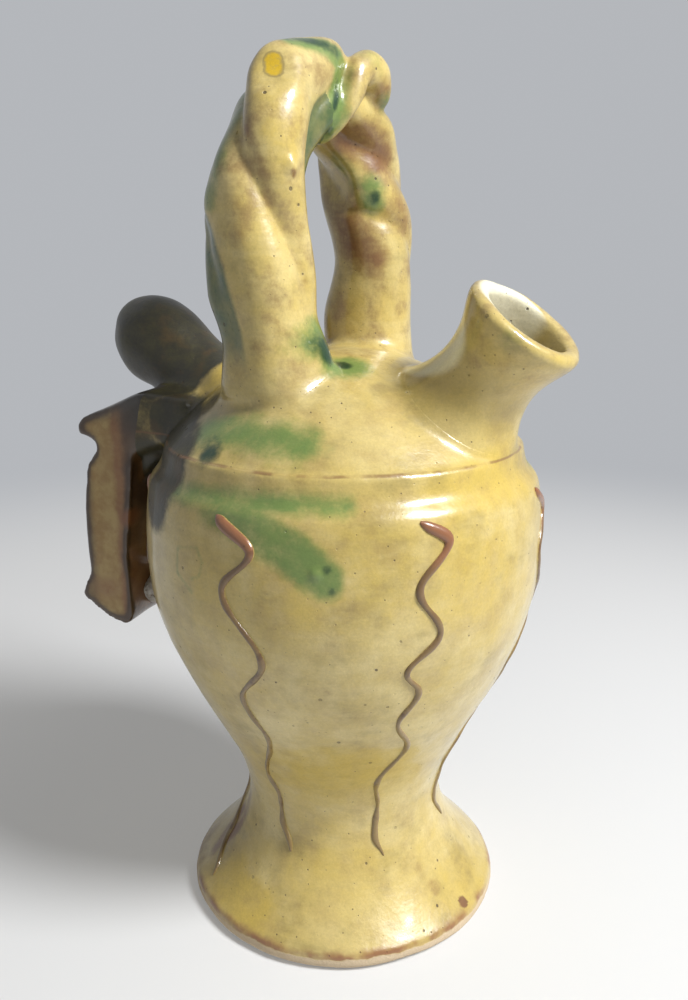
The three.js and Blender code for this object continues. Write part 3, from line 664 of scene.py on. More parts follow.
# Where the glazes ran, and where light and shade are painted: radius in mm, softness of the edge,
# strength, and the points passed.
runsAndPaintedLight = {
    "green": [
        (7, 0.9, 0.85, (-20, -46, 171), (-9, -49, 173.5), (6, -49.5, 173), (15, -48.5, 172)),
        (4, 0.9, 0.35, (22, -46.5, 170.5)),
        (4, 0.9, 0.8, (-26, -57, 155), (-10, -61, 155.5), (14, -60, 157), (32, -52, 157)),
        (2.6, 0.7, 1, (8, -61, 156.5), (20, -58, 157)),
        (5, 0.7, 0.7, (-6, -63, 153), (6, -62.8, 152)),
        (6.6, 0.5, 0.85, (2, -62, 153), (12, -62.5, 149), (22, -61, 144), (28, -59, 139)),
        (0.8, 0.9, 0.5, (-18.4, -63, 139.7), (-18.7, -63.2, 132), (-11.9, -64.6, 127.5)),
        (0.7, 0.9, 0.4, (-18.4, -63, 139.7), (-9.5, -64.8, 141.5), (-7, -65, 137.5),
         (-8.5, -65, 133), (-12, -64.7, 131.5)),
        (6, 0.5, 0.95, (22, -61, 143.5), (30, -58.3, 137.5)),
        (7, 0.7, 0.95, (1, -32, 198), (8, -25, 198), (10, -23, 194), (13, -17, 190)),
        (3.9, 0.6, 0.95, (-1, -25, 281), (3, -16, 280), (5.5, -9, 276), (4.4, -10, 270),
         (4, -11.5, 262), (0, -12, 253)), (4, 0.9, 0.35, (8, 0, 281), (9, 4, 277)),
        (3, 0.8, 0.7, (5.5, -9, 263), (1.5, -10.5, 254)),
        (4.4, 0.8, 0.85, (4, 10.5, 243), (4, 11.5, 239)),
        (3.6, 0.8, 0.5, (-6, 4, 250), (-1, 8, 245)),
        (6, 0.6, 0.75, (-16, -32, 268), (-15, -37, 259), (-16, -42, 248), (-18, -43, 240)),
        (4, 0.9, 0.35, (63.5, -17.5, 200)), (3, 0.9, 0.4, (76, 2, 204), (70, 14, 207)),
        (5, 0.7, 0.6, (40, 44, 160), (56, 26, 160)), (5, 0.7, 0.7, (10, 62, 156), (26, 56, 158)),
        (8, 0.6, 0.8, (-28, 48, 168), (-14, 52, 170)),
        (5.5, 0.6, 0.8, (-12, 63, 150), (-6, 65, 138)), (6, 0.7, 0.8, (-6, 38, 192), (4, 37, 188)),
        (4, 0.8, 0.5, (10, 10, 266), (4, 16, 270)),
    ],
    "deepGreen": [
        (4.4, 0.8, 0.9, (-12.5, -54.5, 167.2)), (4, 0.9, 0.5, (-15, -51, 169.5)),
        (4.6, 0.6, 1, (2.5, -31, 198), (8, -25, 195)), (2.6, 0.6, 1, (11, -18, 190)),
        (2.6, 0.8, 0.8, (-3, -25, 282), (2, -17, 281), (4, -12, 279)),
        (1.3, 0.8, 0.9, (4.6, -9, 271), (3.8, -12, 264)),
        (2.2, 0.7, 0.8, (2, -11, 257), (0, -11, 251)), (2.2, 0.8, 0.9, (4.2, 12, 240.3)),
        (1.5, 0.8, 0.7, (30.7, -57.8, 140.3)), (1.4, 0.8, 0.7, (32, -57.4, 134.1)),
        (4, 0.8, 0.8, (-21, 51, 166)), (3, 0.8, 0.8, (-4, 37, 190)),
        (3, 0.8, 0.4, (-20, -41, 246)),
    ],
    "inkAndShade": [
        (21, 0.16, 1, (-60, 0, 192), (-74, 0, 199), (-98, 0, 210)),
        (18, 0.25, 1, (-67, -15, 180), (-67, -15, 150)), (12, 0.5, 1, (-62, -18, 172)),
        (11, 0.3, 1, (-95, -10, 188), (-84, -12, 182)),
        (13, 0.3, 1, (-97, 6, 192), (-84, 8, 180), (-68, 12, 176)),
        # this band over the dome's left shoulder and the spot below it are partly dark glaze run
        # from the web and partly a painted shade on the side turned from the light
        (12.5, 0.35, 0.95, (-48, -27, 169), (-40, -40, 170), (-32, -50, 163), (-35, -53, 152)),
        (5, 0.8, 0.6, (-28, -34, 180), (-30, -38, 175)),
        (9, 0.7, 0.75, (-60, -14, 160), (-63, -14, 136), (-62, -14, 110)),
        (8, 0.6, 0.6, (-56, 18, 172), (-50, 30, 166)),
    ],
    "brown": [
        (2.1, 0.15, 1, (51.8, -5.4, 7.6)), (3, 0.8, 0.5, (43.7, -11.2, 14.8)),
        (2, 0.8, 0.35, (38.4, -13.2, 20.7)),
        (3, 0.8, 0.95, (-31, -29, 15), (-27, -29, 24), (-26, -26, 34)),
        (3, 0.8, 0.8, (-35, -32, 10), (-34, -26, 17), (-29, -24, 26)),
        (4, 0.9, 0.5, (-40, -34, 6), (-46, -20, 8)),
        # the brown on the far leg's inner face, here and in the strokes at y 21.6, y 30 and y 4 to
        # 6 further down, is partly brown glaze and partly a painted shade
        (7, 0.7, 0.85, (-1, 6, 258), (3, 9, 256), (6, 13, 252)),
        (7, 0.9, 0.8, (-6, 9, 233), (-2, 10, 226), (2, 12, 222)),
        (4, 0.8, 0.6, (8, 9, 272), (6, 11, 268)),
        (3.5, 0.9, 0.4, (-8, -42, 252), (-9, -44, 238), (-6, -43, 226)),
        # on the far leg: partly a painted shade
        (7, 0.9, 0.55, (8, 21.6, 235)),
        (2, 0.9, 0.55, (-6, -43, 258), (-1, -42, 247), (0, -38, 236)),
        (2, 0.9, 0.35, (1, -34, 226), (4, -29, 216)),
        (1.1, 0.8, 0.8, (6, -36, 244.5), (7, -34, 241)), (3.4, 0.9, 0.4, (35.7, 12.3, 25.6)),
        (1.8, 0.8, 0.7, (-21, -58.5, 155.6), (-22, -57, 152)),
        (5, 0.9, 0.35, (6, -27, 262), (4, -24, 252)),
        # on the far leg: partly a painted shade
        (7, 0.9, 0.35, (-14, 30, 222), (-12, 30, 205)),
        (5, 0.7, 0.8, (-50, -8, 187), (-53, 2, 190), (-50, 10, 187)), (8, 0.9, 0.3, (0, 30, 190)),
        (5, 0.9, 0.8, (-10, 4, 226), (-8, 6, 205)), (1.2, 0.9, 0.6, (53, -17, 191)),
        (2, 0.9, 0.25, (22, -56, 103), (29, -54, 102)),
        (4, 0.9, 0.2, (4, -65, 118), (14, -64, 112)),
    ],
    "straw": [
        (9, 0.7, 0.8, (52, -28, 158), (60, -4, 160), (52, 24, 158)),
        (9, 0.8, 0.9, (-20, -44, 11), (-6, -50, 10)),
        (4, 0.8, 0.6, (-8, -52, 164), (30, -46, 164)),
        (10, 0.9, 0.5, (-16, -38, 66), (11, -43, 67), (34, -28, 66)),
        (18, 0.9, 0.5, (60, -22, 134)), (5, 0.9, 0.5, (1, -37.5, 262), (5, -36, 250)),
        (14, 0.9, 0.4, (16, -62, 136), (40, -50, 138)), (14, 0.9, 0.4, (44, 10, 30)),
        (14, 0.9, 0.5, (-44, 44, 150)), (14, 0.9, 0.5, (-48, 12, 60)),
        (6, 0.5, 1, (-44, -15, 181), (-44, -12, 190)),
        (7, 0.9, 0.4, (4, -14, 190), (20, -10, 191)),
        (3, 0.9, 0.6, (-3, -66, 150), (-16, -62, 158)),
    ],
    # the mouth's inside is a painted light: painted pale for the light falling into it
    "inside": [(14, 0.12, 1, (30, 0, 175), (58.5, 0, 206))],
    "amber": [(2.9, 0.4, 1, (-1.7, -33.8, 274.6), (-0.8, -34.5, 272.2))],
    "milk": [
        (6, 0.9, 0.6, (6, -22, 274), (6, -22, 266)),
        (2, 0.7, 0.7, (7, -1, 277), (7, -5, 268), (6, -3, 261)),
        (9, 0.9, 0.45, (30, -44, 170), (48, -20, 172)), (1.4, 0.5, 0.8, (28.2, -59.3, 139)),
        (7, 0.9, 0.3, (12, -20, 190)), (12, 0.9, 0.35, (20, -40, 12), (40, -24, 10)),
        (9, 0.9, 0.35, (-22, -60, 135), (-24, -60, 110)),
    ],
}


# The greatest of a run's strokes at each place, from 0 to 1.
def strokesAt(places, strokes):
    value = np.zeros(len(places), np.float32)
    for radius, soft, strength, *points in strokes:
        points = np.array(points, np.float32)
        distance = np.linalg.norm(places - points[0], axis=1)
        for start, end in zip(points, points[1:]):
            along = end - start
            share = np.clip((places - start) @ along / (along @ along), 0, 1)
            gap = np.linalg.norm(places - start - share[:, None] * along, axis=1)
            distance = np.minimum(distance, gap)
        value = np.maximum(value, strength * fade(distance / radius, 1 - soft, 1 + soft))
    return value


def paint(obj, name, values):
    attribute = obj.data.attributes.new(name, "FLOAT", "POINT")
    attribute.data.foreach_set("value", np.array(values, np.float32))


def treeOf(places):
    tree = KDTree(len(places))
    for i, spot in enumerate(places):
        tree.insert(spot, i)
    tree.balance()
    return tree


# How far into the back roll a place round the near leg lies, in mm; far below zero elsewhere.
def insideBackRoll(places, elsewhere=-9):
    inside = np.full(len(places), elsewhere, np.float32)
    tree = treeOf([centre for centre, tangent in archLine])
    onLeg = ((places[:, 2] > handle["legLow"]) & (places[:, 1] < 0)
             & (abs(places[:, 0]) < handle["legAcross"]))
    for n in np.nonzero(onLeg)[0]:
        spot = Vector(places[n])
        share = tree.find(spot)[1] / handle["archSteps"]
        centre, across, side = archFrame(share)
        arm = spot - centre
        if arm.length > handle["legReach"] or share > handle["legShare"]:
            continue
        start, end = grooveAngles(share)[2:]
        degrees = math.degrees(math.atan2(arm.dot(side), arm.dot(across)))
        away = abs((degrees - (start + end) / 2 + 180) % 360 - 180)
        inside[n] = math.radians((start - end) / 2 - away) * handle["ropeRadius"]
    return inside


depths = hollowDepths(form)
skinPlaces = treeOf(vertexRows(form))
skinTree = BVHTree.FromObject(form, bpy.context.evaluated_depsgraph_get())
print("hollows:", [round(float(x), 2) for x in np.percentile(depths, (1, 10, 50, 90, 99))])


# Cutting the form into the jug's named parts.

cuts = {
    # low and high corners of boxes
    "foot": ((-90, -90, -5), (90, 90, body["waistZ"])),
    "belly": ((-90, -90, 0), (90, 90, body["seamZ"])),
    "mouth": ((18, -40, 150), (90, 40, 215)),
    "handle": ((-32, -60, 170), (30, 60, 290)),
    "shellRadius": 50,
    "spoutRoot": [(22, -20), (20, 2), (17, 6)],
    "spoutFrom": 4,
    "spoutOver": 1.5,
    "spoutTip": [(9, 57)],
    "plaqueOver": 1.2,
    "plaqueWider": 4,
    "loopOver": 1.6,
    "ropeOver": 0.5,
}


def boxCutter(name):
    low, high = cuts[name]
    return settle(newMesh(name + "Box", bpy.ops.mesh.primitive_cube_add, size=1,
                          location=[(a + b) / 2 * mm for a, b in zip(low, high)],
                          scale=[(b - a) * mm for a, b in zip(low, high)]))


# Takes what lies in the cutter off a block, as a new piece.
def takeOff(name, block, cutter):
    piece = combine(copyOf(block, name), cutter, "INTERSECT", keepOther=True)
    combine(block, cutter, "DIFFERENCE")
    return piece


shell = thrown("shell", [(cuts["shellRadius"], -body["shellOver"])]
               + offset(bodyProfile, body["shellOver"]), body["segments"])
domePiece = takeOff("clay_dome", form, shell)
footPiece = takeOff("clay_foot", domePiece, boxCutter("foot"))
bellyPiece = takeOff("clay_belly", domePiece, boxCutter("belly"))
takeOff("clay_mouth", form, boxCutter("mouth"))
backRoll = takeOff("clay_roll_back", form, boxCutter("handle"))
spoutSkin = offset(spoutOutside[cuts["spoutFrom"]:-1], cuts["spoutOver"])
takeOff("clay_spout", form, thrown("spoutCut", cuts["spoutRoot"] + spoutSkin + cuts["spoutTip"],
                                   spout["segments"], spoutFrame))
plaquePiece = takeOff("clay_plaque", form,
                      upright("plaqueCut", plaque["width"] + cuts["plaqueWider"],
                              swollen(plaqueSide(), cuts["plaqueOver"])))
named(form, "clay_web")
takeOff("clay_loop", backRoll, combine(loopTube("loopCut", cuts["loopOver"]),
                                       rope("ropeCut", cuts["ropeOver"]), "DIFFERENCE"))
takeOff("clay_roll_front", backRoll, rollWedge("frontWedge", 0))
takeOff("clay_roll_middle", backRoll, rollWedge("middleWedge", 1))

lining = [p for p in offset(bodyProfile, -body["wall"]) if p[1] > body["baseThickness"]]
cavity = thrown("cavity", [(lining[0][0], body["baseThickness"])] + lining,
                body["liningSegments"])
for piece in (footPiece, bellyPiece, domePiece):
    combine(piece, cavity, "DIFFERENCE", keepOther=True)
bpy.data.objects.remove(cavity)


def layGlazesAndPaintedLight(piece):
    places = vertexRows(piece)
    paint(piece, "hollow", [depths[skinPlaces.find(spot)[1]] for spot in places])
    paint(piece, "backRoll", insideBackRoll(places / mm))
    for name, strokes in runsAndPaintedLight.items():
        paint(piece, name, strokesAt(places / mm, strokes))


for piece in [obj for obj in bpy.data.objects if obj.name.startswith("clay_")]:
    layGlazesAndPaintedLight(piece)
print("the glazes are laid on")


# Wavy ribs of red clay, trailed down the belly from a thick drop under the ridge.

ribs = {
    "width": 2.3,
    "height": 1,
    "topZ": 153,
    "steps": 170,
    "sides": 14,
    # azimuth in degrees, sway, lowest height, phase of the uneven thickness
    "lines": [(-147, "back", 8, 0.4), (-87.5, "left", 27, 0), (-38, "right", 27, 2.1),
              (15, "left", 27, 3.7), (66, "right", 27, 5.2), (118, "left", 27, 1.3)],
    # share of the way down, and millimetres aside
    "left": [(0, -5.4), (0.076, 7.2), (0.173, -2.6), (0.341, 8.8), (0.478, -2.3),
             (0.598, 1.3), (0.775, -7), (0.831, -4.4), (0.912, -4.8), (1, 0.3)],
    "right": [(0, -1.8), (0.048, 7.4), (0.157, -2), (0.265, 5.2), (0.365, -3.9), (0.426, 1.4),
              (0.518, -3.1), (0.614, 2.7), (0.755, -3.4), (0.847, -1.2), (0.944, -1.7), (1, 1)],
    "back": [(0, 3), (0.09, -4), (0.2, 5), (0.32, -3), (0.44, 4), (0.55, -3),
             (0.66, 2.5), (0.77, -3), (0.86, -2), (0.93, 6), (1, 20)],
    "thinnest": 0.72,
    # how much thicker, where down the rib, and over what share: the drop, the body, the last bead
    "swells": [(0.65, 0.04, 0.035), (0.28, 0, 0.55), (0.25, 0.93, 0.05)],
    # how much the thickness wavers, how fast, and how often the phase counts
    "wavers": [(0.12, 41, 1), (0.1, 97, 2)],
    # the ends: thickness at the very end, and growth away from the top and the bottom
    "ends": (0.35, 40, 20),
    # shares of the height that stay and that follow the thickness, lowest side, and sinking in mm
    "section": (0.35, 0.65, -0.6, 0.1),
}


def swayAt(sway, share):
    i = rowAfter(sway, share)
    (start, asideStart), (end, asideEnd) = sway[i - 1], sway[i]
    t = (share - start) / (end - start)
    return asideStart + (asideEnd - asideStart) * (1 - math.cos(math.pi * t)) / 2


def ribThickness(share, phase):
    thick = ribs["thinnest"]
    for more, at, width in ribs["swells"]:
        thick += more * math.exp(-((share - at) / width) ** 2)
    for more, speed, times in ribs["wavers"]:
        thick += more * math.sin(speed * share + times * phase)
    tip, fromTop, fromBottom = ribs["ends"]
    return thick * min(1, tip + fromBottom * (1 - share), tip + fromTop * share)


def makeRib(name, azimuth, swayName, lowest, phase):
    outline = [(z, r) for r, z in bodyProfile]
    spots = []
    for i in range(ribs["steps"] + 1):
        share = i / ribs["steps"]
        height = ribs["topZ"] + (lowest - ribs["topZ"]) * share
        radius = tableAt(outline, height)[0]
        angle = math.radians(azimuth) + swayAt(ribs[swayName], share) / radius
        guess = Vector((radius * math.cos(angle), radius * math.sin(angle), height)) * mm
        spots.append(skinTree.find_nearest(guess)[:2])
    smooth = []
    for i in range(len(spots)):
        near = spots[max(i - 2, 0):i + 3]
        smooth.append((sum((p for p, n in near), Vector()) / len(near),
                       sum((n for p, n in near), Vector()).normalized()))
    kept, following, lowestSide, sinking = ribs["section"]
    turns = [2 * math.pi * k / ribs["sides"] for k in range(ribs["sides"])]
    rings = []
    for i, (place, normal) in enumerate(smooth):
        along = (smooth[min(i + 1, ribs["steps"])][0] - smooth[max(i - 1, 0)][0]).normalized()
        side = normal.cross(along).normalized()
        thick = ribThickness(i / ribs["steps"], phase)
        ring = []
        for turn in turns:
            across = ribs["width"] / 2 * thick * math.cos(turn)
            lift = ribs["height"] * (kept + following * thick) * math.sin(turn)
            ring.append(place + (side * across
                                 + normal * (max(lift, lowestSide) - sinking)) * mm)
        rings.append(ring)
    rib = drawn(name, rings)
    paint(rib, "crown", [math.sin(turn) for turn in turns] * len(rings))
    return rib


ribPieces = [makeRib(f"rib_{i + 1}", *line) for i, line in enumerate(ribs["lines"])]
print("the ribs are trailed")


# The rough lump of unglazed clay behind the plaque's lower end.

prop = {
    "centre": (69, 0, 102.6),
    "half": (12, 10.5, 6.6),
    "fineness": 6,
    "unevenness": [("lump0", 7, 2.6), ("lump1", 2.6, 0.9)],
}
propPiece = newMesh("clay_prop", bpy.ops.mesh.primitive_ico_sphere_add,
                    subdivisions=prop["fineness"], radius=1)
settle(propPiece, plaqueTurn @ Matrix.Translation(Vector(prop["centre"]) * mm)
       @ Matrix.Diagonal([h * mm for h in prop["half"]] + [1]))
for lumps in prop["unevenness"]:
    roughen(propPiece, *lumps)
for neighbour in (plaquePiece, bellyPiece):
    combine(propPiece, neighbour, "DIFFERENCE", keepOther=True)


stands = {
    "cream_glaze": {"clay_foot": "foot", "clay_belly": "belly", "clay_dome": "dome",
                    "clay_mouth": "filling_mouth", "clay_loop": "handle_loop",
                    "clay_roll_front": "handle_roll_front",
                    "clay_roll_middle": "handle_roll_middle"},
    "green_glaze": {"clay_spout": "drinking_spout", "clay_web": "plaque_web",
                    "clay_roll_back": "handle_roll_back"},
    "honey_glaze": {"clay_plaque": "plaque"},
    "bare_clay": {"clay_prop": "plaque_prop"},
    "red_slip": {f"rib_{i + 1}": f"wavy_rib_{i + 1}" for i in range(len(ribPieces))},
}
creaseDegrees = 42
for slotName, pieces in stands.items():
    for name, node in pieces.items():
        piece = bpy.data.objects[name]
        selectOnly(piece)
        bpy.ops.object.shade_smooth_by_angle(angle=math.radians(creaseDegrees))
        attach(piece, "root")
        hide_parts(node)


# Finishes. Sums over a surface are written as plain expressions on this small wrapper.

class Field:
    def __init__(self, tree, socket):
        self.tree = tree
        self.socket = socket

    # Any node: its type, its sockets' values or fields, and its settings, which are set first.
    def make(self, kind, inputs, output=0, **settings):
        node = self.tree.nodes.new("ShaderNode" + kind)
        for key, value in settings.items():
            setattr(node, key, value)
        for key, value in inputs.items():
            if isinstance(value, Field):
                self.tree.links.new(value.socket, node.inputs[key])
            else:
                node.inputs[key].default_value = value
        return Field(self.tree, node.outputs[output])

    def sum(self, operation, first, second):
        return self.make("Math", {0: first, 1: second}, operation=operation)

    def __add__(self, other):
        return self.sum("ADD", self, other)

    def __sub__(self, other):
        return self.sum("SUBTRACT", self, other)

    def __rsub__(self, other):
        return self.sum("SUBTRACT", other, self)

    def __mul__(self, other):
        return self.sum("MULTIPLY", self, other)

    __radd__, __rmul__ = __add__, __mul__

    def atLeast(self, other):
        return self.sum("MAXIMUM", self, other)

    def rise(self, low, high, start=0, end=1):
        return self.make("MapRange", {"Value": self, "From Min": low, "From Max": high,
                                      "To Min": start, "To Max": end},
                         interpolation_type="SMOOTHSTEP")

    # Two colours mixed by this mask.
    def mix(self, under, over):
        return self.make("Mix", {0: self, 6: under, 7: over}, output=2, data_type="RGBA")

    def vector(self, operation, inputs, output=0):
        return self.make("VectorMath", inputs, output, operation=operation)

    # What was painted on the clay under a name.
    def painted(self, name):
        return self.make("Attribute", {}, output=2, attribute_name=name)

    def bump(self, strength, depth):
        return self.make("Bump", {"Height": self, "Strength": strength, "Distance": depth * mm})

    # Noise over a place in mm, with features of that many mm.
    def noise(self, size, detail=2, rough=0.5, output=0):
        return self.make("TexNoise", {"Vector": self, "Scale": 1 / size, "Detail": detail,
                                      "Roughness": rough}, output=output)

    def stretched(self, x, y, z):
        return self.vector("MULTIPLY", {0: self, 1: (x, y, z)})

    # The place moved about by noise, so that edges drawn on it run unevenly.
    def wandering(self, size, reach):
        swing = self.noise(size, 3, 0.55, output=1)
        centred = self.vector("SUBTRACT", {0: swing, 1: (0.5, 0.5, 0.5)})
        return self.vector("ADD", {0: self, 1: self.vector("SCALE", {0: centred, "Scale": reach})})

    # A soft spot: 1 inside the given half sizes, falling to 0 outside them.
    def spot(self, centre, half, soft):
        share = self.vector("MULTIPLY_ADD", {0: self, 1: [1 / h for h in half],
                                             2: [-c / h for c, h in zip(centre, half)]})
        return self.vector("LENGTH", {0: share}, output=1).rise(1 + soft, 1 - soft)

    def spots(self, places):
        masks = [self.spot(centre, half, soft) * strength
                 for centre, half, soft, strength in places]
        greatest = masks[0]
        for mask in masks[1:]:
            greatest = greatest.atLeast(mask)
        return greatest

    # Round specks, one at most in each cell of that many mm, with radii up to the given one.
    def specks(self, cell, radius, share):
        settings = {"Vector": self, "Scale": 1 / cell, "Randomness": 1}
        away = self.make("TexVoronoi", settings) * cell
        luck = self.make("SeparateColor", {0: self.make("TexVoronoi", settings, output=1)})
        reach = luck.rise(1 - share, 1, 0, radius)
        return (reach - away).rise(0, 0.35 * radius)


# A new material, its surface, and the place in mm.
def startMaterial(name):
    material = bpy.data.materials.new(name)
    material.use_nodes = True
    tree = material.node_tree
    start = Field(tree, tree.nodes.new("ShaderNodeTexCoord").outputs["Object"])
    return (material, tree.nodes["Principled BSDF"],
            start.vector("SCALE", {0: start, "Scale": 1 / mm}))


def connect(surface, **fields):
    for name, field in fields.items():
        socket = surface.inputs[name.replace("_", " ")]
        if isinstance(field, Field):
            field.tree.links.new(field.socket, socket)
        else:
            socket.default_value = field


# Lays shades over a colour one after another, each where its mask says.
def layered(colour, look, layers):
    for shade, mask in layers:
        colour = mask.mix(colour, look[shade])
    return colour


glazeLook = {
    "cream": (0.57, 0.44, 0.145, 1),
    "straw": (0.55, 0.40, 0.075, 1),
    "milk": (0.63, 0.51, 0.215, 1),
    # a painted light: the pale colour painted inside the mouth for the light falling into it
    "inside": (0.93, 0.89, 0.68, 1),
    "olive": (0.25, 0.19, 0.06, 1),
    "brown": (0.20, 0.095, 0.035, 1),
    "green": (0.125, 0.22, 0.05, 1),
    "deepGreen": (0.008, 0.04, 0.012, 1),
    "inkAndShade": (0.012, 0.012, 0.007, 1),
    "oliveInk": (0.036, 0.034, 0.012, 1),
    "brownInk": (0.06, 0.036, 0.011, 1),
    # brown stain on the handle, laid there partly as a painted shade
    "stainAndShade": (0.31, 0.205, 0.075, 1),
    "rollGreen": (0.052, 0.095, 0.028, 1),
    "amber": (0.55, 0.36, 0.012, 1),
    "speck": (0.06, 0.04, 0.018, 1),
    "bareClay": (0.58, 0.46, 0.31, 1),
    "burntEdge": (0.25, 0.10, 0.045, 1),
    "gloss": 0.27,
    "coat": 0.6,
    "coatRoughness": 0.11,
}


# The main glaze. Where each colour ran, and the painted light and shade, were painted on the clay;
# noise makes the edges run unevenly.
def makeGlaze():
    material, surface, place = startMaterial("creamGlaze")
    look = glazeLook
    hollow = place.painted("hollow")
    level = place.make("SeparateXYZ", {0: place}, output=2)
    mottle = place.noise(7, 3, 0.6)
    fine = place.noise(1.3, 3, 0.65)
    grain = place.noise(0.7, 2, 0.7)
    throwing = place.stretched(0.1, 0.1, 1).noise(2.6, 3, 0.6)
    smeared = place.stretched(0.3, 0.3, 1).noise(3.2, 4, 0.65)
    spread = (mottle * 0.75 + smeared * 0.25 - 0.5) * 1.1 + (fine - 0.5) * 0.3

    def ran(name, low, high):
        here = place.painted(name)
        return (here + spread * here.rise(0, 0.3)).rise(low, high)

    thick = place.noise(30) * 0.55 + mottle * 0.3 + throwing * 0.15
    pooled = hollow.rise(0.06, 0.9, 0, 0.6) * mottle.rise(0.3, 0.6, 0.5, 1)
    smudge = place.noise(19, 4, 0.62).rise(0.48, 0.72, 0, 0.5)
    # the handle, above the dome, is darkened with stain and olive: partly its mottling, partly a
    # painted shade
    handleStainAndShade = level.rise(182, 196, 0.4, 1)
    backRoll = place.painted("backRoll") + spread * 2 + level.rise(242, 226, 0, 2.2)
    backRoll = backRoll.rise(-3, -0.4) * level.rise(188, 200)
    colour = layered(thick.rise(0.36, 0.55).mix(look["milk"], look["cream"]), look, [
        # the ground: yellower where it lies thick, paler where it is thin
        ("straw", thick.rise(0.48, 0.7, 0, 0.6)),
        ("straw", ran("straw", 0, 0.9) * 0.85),
        ("milk", ran("milk", 0, 0.9)),
        # glaze runs together in the hollows and turns olive and brown there
        ("olive", pooled),
        ("milk", hollow.rise(-0.15, -0.9, 0, 0.3)),
        ("olive", smudge * smeared.rise(0.35, 0.6, 0.35, 1)),
        # partly painted shade: the handle darkened brown and olive
        ("stainAndShade", place.noise(11, 5, 0.68).rise(0.43, 0.7, 0, 0.85) * handleStainAndShade),
        ("olive", place.noise(2.4, 4, 0.7).rise(0.54, 0.78, 0, 0.4) * handleStainAndShade),
        ("olive", smeared.rise(0.52, 0.76, 0, 0.16)),
        # painted light inside the mouth
        ("inside", place.painted("inside").rise(0.2, 0.9, 0, 0.92)),
        # brown runs; on the far leg partly a painted shade
        ("brown", ran("brown", 0.1, 1)),
        ("green", ran("green", 0.1, 1) * 0.92),
        ("deepGreen", ran("deepGreen", 0.15, 0.95)),
        ("rollGreen", backRoll * mottle.rise(0.25, 0.7, 1, 0.72)),
    ])
    # the spout's ink is itself mottled with olive and brown; over the dome's left shoulder the same
    # dark is partly a painted shade
    inkAndShade = ran("inkAndShade", 0.15, 0.85)
    shade = (mottle * 0.7 + fine * 0.3).rise(0.36, 0.66).mix(look["inkAndShade"], look["oliveInk"])
    shade = place.noise(12, 3, 0.6).rise(0.5, 0.68, 0, 0.8).mix(shade, look["brownInk"])
    colour = (inkAndShade * 0.97).mix(colour, shade)

    height = level + (place.noise(15) - 0.5) * 1.1
    seam = height.rise(163.7, 164.1) * height.rise(164.9, 164.4)
    holes = place.specks(5.2, 0.7, 0.5).atLeast(place.specks(2.2, 0.34, 0.6) * 0.8)
    rim = level + (place.noise(9, 3, 0.6) - 0.5) * 3
    bare = rim.rise(4.3, 3.7)
    burnt = rim.rise(3.5, 4.5) * rim.rise(7.2, 5) * place.noise(12, 3).rise(0.36, 0.56, 0.12, 1)
    colour = layered(colour, look, [
        ("olive", ran("amber", 0.05, 0.3) * 0.75),
        ("amber", ran("amber", 0.3, 0.8) * fine.rise(0.3, 0.55, 0.6, 1)),
        # the brown line in the groove under the dome, broken here and there
        ("brown", seam * place.noise(9, 3).rise(0.4, 0.6, 0.1, 0.7)),
        # pinholes and iron specks
        ("speck", holes * place.noise(26).rise(0.32, 0.6, 0.25, 0.85)),
        # the foot's edge: a burnt line where the glaze ends, bare clay below it
        ("burntEdge", burnt * 0.9),
        ("bareClay", bare),
    ])
    colour = place.make("HueSaturation", {"Color": colour, "Value": 0.84 + grain * 0.32})

    relief = (fine * 0.3 + mottle * 0.9 + throwing * 0.3 - holes * 1.1 + burnt * 0.6
              + bare * grain * 0.8)
    connect(surface, Base_Color=colour, Normal=relief.bump(0.6, 0.4),
            Roughness=look["gloss"] + mottle * 0.16 + holes * 0.3 + bare * 0.5 + inkAndShade * 0.08,
            Coat_Weight=(1 - bare) * (1 - inkAndShade * 0.75) * look["coat"],
            Coat_Roughness=look["coatRoughness"])
    return material


plaqueLook = {
    "honey": (0.34, 0.205, 0.06, 1),
    "paleHoney": (0.43, 0.30, 0.105, 1),
    # dark brown of the broken edges, also used as a painted shade along the front edge
    "edgeAndShade": (0.055, 0.028, 0.012, 1),
    "rust": (0.24, 0.09, 0.03, 1),
    "inkAndShade": (0.035, 0.03, 0.022, 1),
    "speck": (0.07, 0.04, 0.02, 1),
    # spots of a shade: centre, half sizes, softness, strength
    "rustSpots": [((-69.5, -31, 133), (3, 6, 3), 0.6, 0.8),
                  ((-80, -30, 106), (6, 10, 4), 0.7, 0.6)],
    # the second ink spot lies along the front edge: a painted shade on the rounding turned from the
    # light
    "inkAndShadeSpots": [((-62, -14, 172), (11, 24, 14), 0.4, 0.95),
                 ((-92, -20, 128), (3, 20, 34), 0.6, 0.6), ((-74, 8, 178), (16, 10, 8), 0.6, 0.5)],
    "coat": 0.5,
    "coatRoughness": 0.08,
}


